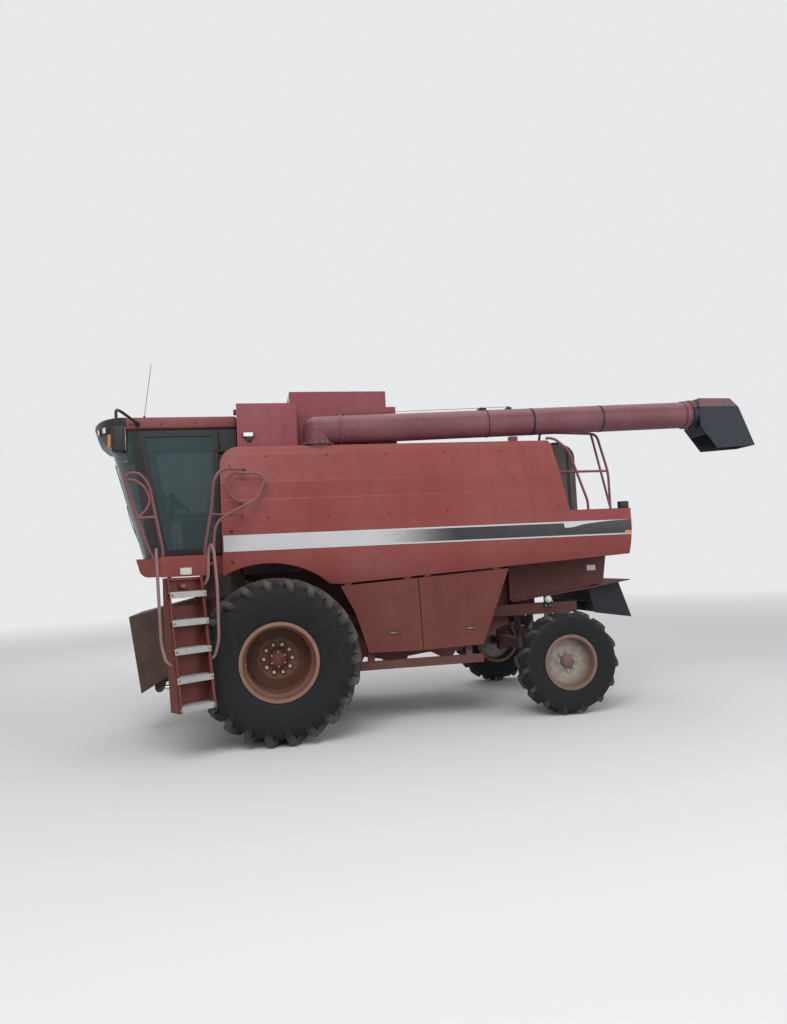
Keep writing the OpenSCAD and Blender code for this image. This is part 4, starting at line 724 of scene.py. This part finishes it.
# Lenses of the visor's lamps, ribbed and with a rim
for side, sy in SIDES:
    lens = Shape()
    for deg in LAMP_DEGS:
        p, out = visor_lamp(deg, sy, LAMP_Z)
        across = Vector((0, 0, 1)).cross(out)
        place = Matrix((*zip(across, (0, 0, 1), out, p), (0, 0, 0, 1)))
        lens.block((-0.037, -0.033, 0.0215), (0.037, 0.033, 0.0255), 0.003, 0, place)
        for x in [-0.03 + 0.015 * k for k in range(5)]:
            lens.block((x - 0.003, -0.028, 0.025), (x + 0.003, 0.028, 0.0268), 0.0008, 0, place)
        for x, y, half_x, half_y in ((0, -0.036, 0.043, 0.003), (0, 0.036, 0.043, 0.003),
                                     (-0.04, 0, 0.003, 0.033), (0.04, 0, 0.003, 0.033)):
            lens.block((x - half_x, y - half_y, 0.0205), (x + half_x, y + half_y, 0.0275), 0.002, 1, place)
    lens.done("visor_lenses_" + side, lens_glass, black_paint)

# Seat: pedestal with bellows, and cushions sewn with rolled edges
IN_CAB = Matrix.Translation((0, 0, 2.1))
seat = Shape(IN_CAB)
seat.block((0.722, -0.148, 0.001), (0.978, 0.148, 0.05), 0.008)
for z in [0.05 + 0.045 * k for k in range(5)]:
    seat.block((0.735, -0.135, z), (0.965, 0.135, z + 0.038), 0.016)
seat.block((0.66, -0.2, 0.275), (1.06, 0.2, 0.318), 0.012)
for sy in (-1, 1):
    seat.block((0.7, sy * 0.236, 0.46), (0.78, sy * 0.27, 0.7), 0.01)
seat_obj = seat.done("seat_pedestal", black_paint)
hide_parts("seat")


# Puffed cushion between two corners in the cab, its edges rounded by r, with a groove at each seam's y
def cushion(name, lo, hi, r, bulge=0.012, seams=(-0.12, 0.12)):
    bm = bmesh.new()
    bmesh.ops.create_cube(bm, size=1.0)
    mid = Vector([(a + b) / 2 for a, b in zip(lo, hi)])
    size = Vector([b - a for a, b in zip(lo, hi)])
    for v in bm.verts:
        v.co = v.co * size
    bmesh.ops.bevel(bm, geom=bm.edges[:], offset=r, segments=4, affect="EDGES", profile=0.5)
    long_edges = [e for e in bm.edges if e.calc_length() > 0.08]
    bmesh.ops.subdivide_edges(bm, edges=long_edges, cuts=18, use_grid_fill=True)
    for v in bm.verts:
        u = [v.co[k] / (size[k] / 2) for k in range(3)]
        full = [max(0.0, 1 - c ** 2) for c in u]
        puff = bulge * (full[0] * full[1] + full[1] * full[2] + full[0] * full[2])
        v.co += Vector([math.copysign(puff * abs(c) ** 3, c) for c in u])
        groove = sum(math.exp(-((v.co.y - s) / 0.01) ** 2) for s in seams)
        v.co -= Vector((v.co.x, 0, v.co.z)) * 0.1 * groove
        v.co += v.co.normalized() * 0.002 * noise.noise(v.co * 14)
    piece = Shape()
    piece.take(bm, 0, IN_CAB @ Matrix.Translation(mid))
    piece.done(name, cloth, sharp=180)


cushion("seat_cushion", (0.645, -0.235, 0.318), (1.085, 0.235, 0.448), 0.045)
cushion("seat_back", (0.562, -0.228, 0.44), (0.675, 0.228, 1.045), 0.042)

# Console, armrest, lever, pedals and a display beside the seat
console = Shape(IN_CAB)
console.block((0.6, -0.62, 0.001), (1.15, -0.34, 0.52), 0.02)
console.block((0.66, -0.335, 0.53), (1.12, -0.285, 0.6), 0.014)
console.block((1.1, -0.56, 0.5), (1.28, -0.36, 0.6), 0.02)
console.bar([(1.16, -0.45, 0.58), (1.17, -0.45, 0.7), (1.18, -0.44, 0.76)], 0.018)
console.turned([(0.008, -0.03), (0.024, -0.015), (0.028, 0.0), (0.022, 0.018), (0.006, 0.026)], 20, 0,
               IN_CAB @ facing((1.18, -0.44, 0.785), (0.1, 0, 1)))
console.block((1.47, -0.6, 0.02), (1.56, -0.38, 0.16), 0.012)
console.block((1.24, -0.66, 0.72), (1.3, -0.44, 0.9), 0.012)
console.bar([(1.27, -0.55, 0.73), (1.22, -0.52, 0.58)], 0.022)
console.block((1.46, -0.14, 0.001), (1.54, 0.0, 0.05), 0.01)
console.block((1.46, 0.06, 0.001), (1.54, 0.2, 0.05), 0.01)
console.done("cab_console", black_paint)

# Blank plate on the platform's edge, with its four screws
bits = Shape()
hit, _ = beside(1, 0.94, 1.96, "platform")
bits.block((0.882, hit.y + 0.0003, 1.898), (1.0, hit.y + 0.004, 1.972), 0.0015)
for x in (0.89, 0.992):
    for z in (1.906, 1.964):
        bits.bolt((x, hit.y + 0.004, z), OUTWARD, 0.006, 1)
bits.done("blank_plate", plate_pale, steel)

# Ladder with its closed plates, lipped aluminium treads, flanged sides and hand rails. In its own frame
# x runs across, y out from the machine, and each tread stands LEAN further out than the one above.
LADDER = Matrix.Translation((0.98, 2.035, 0)) @ spun(35)
HALF, RISE, TOP_TREAD, TOP, LIP = 0.215, 0.284, 1.726, 1.872, 0.06
TREAD_T, SHEET_T, LEAN, DEEP = 0.01, 0.006, 0.028, 0.14
INNER, REACH = HALF - 0.006, LEAN * 4 + DEEP
steps = Shape(LADDER)


def tread_z(i):
    return TOP_TREAD - RISE * i


def sheet(u0, u1, v, z0, z1):
    steps.block((u0, v, z0), (u1, v + SHEET_T, z1), 0.001)


for i in range(5):
    v, z = LEAN * i, tread_z(i)
    steps.block((-INNER, max(0, v - LEAN) + 0.002, z - TREAD_T), (INNER, v + DEEP - 0.001, z), 0.002, 1)
    steps.block((-INNER, v + DEEP - TREAD_T, z - LIP), (INNER, v + DEEP, z + 0.002), 0.003, 1)
    for u in [-0.18 + 0.36 * k / 8 for k in range(9)]:
        for w in [v + 0.025 + 0.04 * row for row in range(3)]:
            steps.block((u - 0.014, w - 0.004, z - 0.001), (u + 0.014, w + 0.004, z + 0.0035), 0.0012, 1)
    for u in (-0.19, 0.19):
        steps.bolt((u, v + DEEP, z - 0.03), OUTWARD, 0.014, 2)
for i in range(1, 4):
    sheet(-INNER, INNER, LEAN * i, tread_z(i + 1) - SHEET_T, tread_z(i) - SHEET_T)
hole_low, hole_high = TOP_TREAD - 0.142, TOP_TREAD - 0.052
sheet(-INNER, INNER, 0, tread_z(1) - SHEET_T, hole_low)
sheet(-INNER, INNER, 0, hole_high, TOP - 0.01)
for u0, u1 in ((-INNER, -HALF + 0.07), (HALF - 0.07, INNER)):
    sheet(u0, u1, 0, hole_low, hole_high)
foot, last = tread_z(4) - LIP, tread_z(4)
outline = [(0, TOP), (0.07, TOP), (REACH, last), (REACH, foot), (LEAN * 3, foot), (LEAN * 3, last),
           (0, tread_z(1))]
flange = [(0.07 - 0.008, TOP), (0.07, TOP), (REACH, last), (REACH, foot), (REACH - 0.008, foot),
          (REACH - 0.008, last)]
for s in (-1, 1):
    for shape, wide in ((outline, 0.008), (flange, 0.035)):
        steps.loft([[(s * u, v, z) for v, z in shape] for u in (HALF, HALF - wide)])
steps.block((-HALF, 0, TOP - 0.03), (HALF, 0.04, TOP), 0.003)
steps.block((-0.045, 0, TOP_TREAD + 0.03), (0.045, 0.045, TOP_TREAD + 0.08), 0.005)
steps.bolt((0, 0.045, TOP_TREAD + 0.055), OUTWARD, 0.016, 2)
FAR = HALF + 0.06
for path in ([(HALF, 0.13, 1.0), (HALF + 0.05, 0.115, 1.04), (FAR, 0.045, 1.214), (FAR, 0, 2.1),
              (FAR, 0, 2.181)],
             [(-HALF, 0.15, 1.01), (-HALF - 0.05, 0.165, 1.04), (-FAR, 0.235, 1.2),
              (-FAR, 0.24, 1.756), (-FAR, 0.2, 2.13), (-FAR, 0.146, 2.22), (-FAR, 0.095, 2.13),
              (-FAR, 0.075, 1.86), (-HALF - 0.04, 0.035, 1.79), (-HALF, 0.03, 1.78)]):
    steps.bar(rounded(path, 0.07), 0.032, 16, 3)
# The arm from the hinge's pin to the ladder
PIN_X, PIN_Y, EYE_R = 1.12, 1.82, 0.045
near, far = (tuple((LADDER @ Vector((u, 0.02, 0)))[:2]) for u in (-0.06, 0.18))
arm = [(PIN_X - EYE_R, PIN_Y), near, far, (PIN_X + EYE_R, PIN_Y)]
for a in [math.radians(-deg) for deg in (20, 50, 90, 130, 160)]:
    arm.append((PIN_X + EYE_R * math.cos(a), PIN_Y + EYE_R * math.sin(a)))
steps.loft([[(x, y, z) for x, y in arm] for z in (TOP - 0.03, TOP)], 0, Matrix())
steps.turned([(0.02, -0.03), (0.02, 0.088), (0.018, 0.09)], 32, 2,
             Matrix.Translation((PIN_X, PIN_Y, TOP)))
steps_obj = steps.done("fine_ladder", red_low, tread_metal, bolt_steel, rail_worn, body="ladder_body")
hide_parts("ladder")

# Grab bars about the cab and the deck
more = Shape()
loop = [(1.516, 2.93), (1.43, 2.918), (1.34, 2.85), (1.283, 2.707), (1.33, 2.6), (1.424, 2.52)]
more.bar(rounded([(x, LOOP_Y, z) for x, z in loop]), 0.026, 16)
more.bar([(1.424, LOOP_Y, 2.52), (1.238, LOOP_Y, 2.524)], 0.026, 16)
more.bar(rounded([(0.672, LOOP_Y, 2.53), (0.345, 1.59, 2.53), (0.345, 1.499, 2.53)], 0.05), 0.026, 16)
more.bar([(-4.165, GUARD_Y, 3.463), (-4.365, GUARD_Y, 2.52)], 0.03, 16)
more.done("grab_bars", tube_red)

# Bolts of the side panels
for side, sy in SIDES:
    heads = Shape()
    spots = [(x, z) for x in (-3.45, -2.75, -2.05, -1.35, -0.65, 0.05) for z in (2.5, 3.2)]
    for x, z in spots + [(0.46, 2.3), (0.46, 2.75), (0.46, 3.1)]:
        hit, normal = beside(sy, x, z, "upper_panel_" + side)
        if hit is not None:
            heads.bolt(hit - normal * 0.0005, normal, 0.016)
    heads.done("panel_bolts_" + side, red)

# Round caps on the nose of the upper panels
for side, sy in SIDES:
    caps = Shape()
    for z in (2.355, 2.01):
        hit, normal = beside(sy, 0.462, z, "upper_panel_" + side, "belt_panels")
        caps.turned([(0.019, -0.002), (0.019, 0.003), (0.014, 0.006), (0.004, 0.007)], 24, 0,
                    facing(hit, normal))
    caps.done("nose_caps_" + side, black_paint)

# Catch on the lower edge of each shield
for side, sy in SIDES:
    for part, x in (("front", -1.36), ("rear", -2.3)):
        node = "shield_" + part + "_" + side
        hit, normal = beside(sy, x, 1.09, node)
        place = facing(hit, normal)
        catch = Shape()
        catch.block((-0.055, -0.022, -0.002), (0.055, 0.022, 0.005), 0.002, 0, place)
        catch.block((-0.03, -0.01, 0.004), (0.03, 0.01, 0.012), 0.003, 1, place)
        for u in (-0.044, 0.044):
            catch.bolt(place @ Vector((u, 0, 0.005)), normal, 0.01, 1)
        catch.done(node + "_catch", black_paint, bolt_steel, body="shield_" + part[0] + side[0])

# Auger: flange bolts, clamp bands, hood strap and the taut line along the folded tube
TUBE_RISE = math.radians(1.5)
TUBE_R = 0.1675
TURRET_X, TURRET_Y, TUBE_Z = -0.57, 1.25, 3.52
TUBE_DIR = Vector((-math.cos(TUBE_RISE), 0, math.sin(TUBE_RISE)))
TUBE_UP = Vector((-math.sin(TUBE_RISE), 0, math.cos(TUBE_RISE)))


# Point on the tube's skin: reach along it, deg round it from the top
def on_tube(reach, deg=0.0, off=0.0):
    r = TUBE_R + off
    a = math.radians(deg)
    turret = Vector((TURRET_X, TURRET_Y + r * math.sin(a), TUBE_Z))
    return turret + reach * TUBE_DIR + r * math.cos(a) * TUBE_UP


def band(reach, wide, high):
    place = facing(on_tube(reach) - TUBE_UP * TUBE_R, TUBE_DIR)
    profile = [(0.1672, 0), (high, 0.001), (high, wide - 0.001), (0.1672, wide)]
    fittings.turned(profile, 64, 0, place, ring=True)


fittings = Shape()
for i in range(12):
    fittings.bolt(on_tube(0.292, 360 * (i + 0.5) / 12, -0.002), TUBE_DIR, 0.018, 1)
for p in around(Matrix.Translation((TURRET_X, TURRET_Y, 0)), 16, 0.182, 3.42, 0.5):
    hit, normal = onto(p.to_translation(), DOWN, "auger_tube")
    if hit is not None and normal.z > 0.9:
        fittings.bolt(hit, (0, 0, 1), 0.018, 1)
band(2.66, 0.03, 0.17)
band(3.58, 0.03, 0.17)
for start, end, wide, high in ((1.99, 2.1, 0.045, 0.026), (2.34, 2.44, 0.03, 0.022)):
    place = facing(on_tube((start + end) / 2), TUBE_UP)
    half = (end - start) / 2
    fittings.block((-half, -wide, -0.006), (half, wide, high), 0.004, 0, place)
    for t in (-0.6, 0.6):
        fittings.bolt(place @ Vector((t * half, 0, high)), (0, 0, 1), 0.014, 1)
band(2.085, 0.014, 0.1725)
fittings.done("auger_fittings", black_paint, bolt_steel, body="unloader")

line_piece = Shape()
near, far = on_tube(0.31, 10, 0.02), on_tube(2.38, 4, 0.03)
line_piece.bar([near.lerp(far, k / 12) for k in range(13)], 0.006, 8)
for end in (near, far):
    line_piece.block(end - Vector((0.012, 0.008, 0.03)), end + Vector((0.012, 0.008, 0.008)), 0.003)
line_piece.done("auger_line", black_paint, body="unloader")

# Lamp on its bracket and blank plate at the rear, and the side reflectors
rear = Shape()
hit, _ = beside(1, -3.5, 1.25, "main_frame")
rear.block((-3.555, hit.y + 0.0003, 1.23), (-3.445, hit.y + 0.012, 1.4), 0.004)
rear.turned([(0.046, 0.006), (0.046, 0.03), (0.04, 0.04), (0.028, 0.046), (0.008, 0.049)], 40, 1,
            facing((-3.5, hit.y + 0.003, 1.345), OUTWARD))
for x in (-3.47, -3.53):
    rear.bolt((x, hit.y + 0.012, 1.26), OUTWARD, 0.014, 3)
hit, normal = beside(1, -4.14, 1.72, "straw_hood")
rear.block((-0.06, -0.035, 0.0), (0.06, 0.035, 0.003), 0.001, 2, facing(hit, normal))
rear.done("hood_details", black_paint, lens_glass, plate_pale, bolt_steel)
marks = Shape()
for side, sy in SIDES:
    hit, normal = beside(sy, -4.345, 2.155, "belt_panels", "rear_deck")
    marks.block((-0.045, -0.02, 0.0), (0.045, 0.02, 0.007), 0.003, 0, facing(hit, normal))
marks.done("side_reflectors", amber)

# Wiper on the windscreen
wiper = Shape()
hits = [onto((3.2, 0.1, 2.42 + 0.075 * k), (-1, 0, 0), "cab_glass") for k in range(13)]
pts = [hit + normal * 0.014 for hit, normal in hits]
wiper.bar(pts, 0.011, 10)
hit, normal = onto((3.2, 0.02, 2.36), (-1, 0, 0), "cab_glass")
wiper.bar([hit + normal * 0.022, (hit + pts[5]) / 2 + normal * 0.03, pts[5] + normal * 0.012], 0.01, 10)
wiper.turned([(0.018, -0.016), (0.022, 0.0), (0.02, 0.02), (0.012, 0.027)], 20, 0, facing(hit, normal))
wiper.done("wiper", black_paint)

# Plate pattern of the platform
pattern = Shape()
for i in range(9):
    for j in range(18):
        hit, _ = onto((0.745 + 0.052 * i, 0.93 + 0.052 * j, 2.35), DOWN, "platform")
        place = Matrix.Translation(hit) @ spun(45 if (i + j) % 2 else -45)
        pattern.block((-0.016, -0.0035, -0.001), (0.016, 0.0035, 0.0022), 0.001, 0, place)
pattern.done("platform_pattern", red)

# Straps and filler cap of the fuel tank
lo, hi = (Vector(p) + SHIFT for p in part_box("fuel_tank"))
tank = Shape()
for x in (lo.lerp(hi, 0.25).x, lo.lerp(hi, 0.75).x):
    hit, _ = beside(1, x, (lo.z + hi.z) / 2, "fuel_tank")
    tank.block((x - 0.02, hit.y - 0.001, lo.z + 0.05), (x + 0.02, hit.y + 0.003, hi.z - 0.05), 0.001)
hit, normal = onto(((lo.x + hi.x) / 2, hi.y - 0.16, hi.z + 0.4), DOWN, "fuel_tank")
tank.turned([(0.055, -0.004), (0.055, 0.018), (0.066, 0.02), (0.066, 0.045), (0.058, 0.052), (0.01, 0.055)],
            40, 0, facing(hit, normal))
tank.done("fuel_tank_fittings", black_paint)

# Air screen: rim, spokes and a hub before the perforated face
lo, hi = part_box("rotary_screen")
face = facing((-2.8, min(lo[1], hi[1]) + MID_Y, 2.85), (0, -1, 0))
disc = Shape(face)
rim = [(0.3, -0.01), (0.322, -0.01), (0.322, 0.004), (0.316, 0.008), (0.3, 0.006)]
disc.turned(rim, 96, ring=True)
disc.turned([(0.15, -0.002), (0.158, -0.002), (0.158, 0.006), (0.15, 0.006)], 72, ring=True)
disc.turned([(0.052, -0.004), (0.052, 0.01), (0.044, 0.018), (0.02, 0.022), (0.006, 0.022)], 40)
for turn in [spun(360 * i / 8) for i in range(8)]:
    disc.block((0.045, -0.01, -0.004), (0.304, 0.01, 0.006), 0.003, 0, face @ turn)
    disc.bolt(turn @ Vector((0.289, 0, 0.006)), (0, 0, 1), 0.012, 1)
disc.done("screen_spokes", steel, bolt_steel, body="screen")

# Chain with its slats, just inside the feeder house's mouth
chain = Shape()
points = []
for x in [1.05 + 0.115 * k for k in range(9)]:
    top, _ = onto((x, 0.0, 2.9), DOWN, "feeder_house")
    if top is not None:
        under, _ = onto((x, 0.0, top.z - 0.1), DOWN, "feeder_house")
        if under is not None and top.z - under.z >= 0.25:
            points.append(Vector((x, 0, under.z + 0.045)))
along = points[-1] - points[0]
strands = (-0.4, 0.0, 0.4)
for p in points:
    place = Matrix.Translation(p) @ Matrix.Rotation(math.atan2(-along.z, along.x), 4, "Y")
    chain.block((-0.018, -0.52, -0.012), (0.018, 0.52, 0.012), 0.004, 0, place)
    for y in strands:
        chain.block((-0.045, y - 0.02, -0.016), (0.045, y + 0.02, 0.016), 0.006, 0, place)
for y in strands:
    chain.bar([p + Vector((0, y, 0)) for p in (points[0], points[-1])], 0.022, 10)
chain.done("feeder_chain", bolt_steel, body="feeder")

# Dark sheets in the gaps above the front wheels: the inner walls of the wheel wells, and a painted shade
# where the gaps show only shadow
for side, sy in SIDES:
    well = Shape()
    well.block((-0.7, sy * 0.99, 1.86), (0.345, sy * 0.998, 2.14), 0.002)
    well.block((0.345, sy * 0.83, 1.6), (0.86, sy * 0.838, 1.884), 0.002)
    well.block((-0.7, sy * 0.7, 2.06), (0.345, sy * 0.998, 2.068), 0.002)
    well.done("well_shade_sheet_" + side, cast_paint)

BACKDROP = (0.8, 0.81, 0.82)


# The floor's finish. Far off, it passes into the backdrop.
def floor_material():
    t = Tree("floor_pale")
    c = t.mix(t.mul(t.noise(2.0, 3), 0.05), (0.66, 0.66, 0.66), (0.62, 0.62, 0.62))
    t.surface(color=c, rough=0.9, spec=0.1)
    near = t.out.inputs[0].links[0].from_socket
    glow = t.add("ShaderNodeEmission", {"Color": BACKDROP, "Strength": 1.0}).outputs[0]
    x, y, _ = t.xyz()
    far = t.math("SQRT", t.math("ADD", t.mul(x, x), t.mul(y, y)))
    both = t.add("ShaderNodeMixShader", {0: t.ramp(far, 6.0, 26.0), 1: near, 2: glow})
    t.nt.links.new(both.outputs[0], t.out.inputs[0])
    return t.mat


bpy.ops.mesh.primitive_plane_add(size=120, location=(0, 0, 0))
floor = bpy.context.object
floor.name = "floor"
floor.data.materials.append(floor_material())

# The world's light, and the paler backdrop that the camera sees
world = bpy.data.worlds.new("world")
scene.world = world
world.use_nodes = True
nodes, links = world.node_tree.nodes, world.node_tree.links
light, pale = nodes["Background"], nodes.new("ShaderNodeBackground")
for node, color, strength in ((light, (0.86, 0.87, 0.89), 0.62), (pale, BACKDROP, 1.0)):
    node.inputs[0].default_value = (*color, 1)
    node.inputs[1].default_value = strength
both = nodes.new("ShaderNodeMixShader")
links.new(nodes.new("ShaderNodeLightPath").outputs["Is Camera Ray"], both.inputs[0])
links.new(light.outputs[0], both.inputs[1])
links.new(pale.outputs[0], both.inputs[2])
links.new(both.outputs[0], nodes["World Output"].inputs[0])


def area(name, place, size, power):
    d = bpy.data.lights.new(name, "AREA")
    d.shape = "SQUARE"
    d.size = size
    d.energy = power
    o = bpy.data.objects.new(name, d)
    scene.collection.objects.link(o)
    o.location = place
    o.rotation_euler = (Vector((0, 0, 1.5)) - Vector(place)).to_track_quat("-Z", "Y").to_euler()


area("key", (3.5, 9.5, 9.5), 7, 900)
area("fill", (-7, 7, 5), 7, 350)
area("back", (2, -9, 8), 8, 450)

scene.view_settings.view_transform = "Standard"
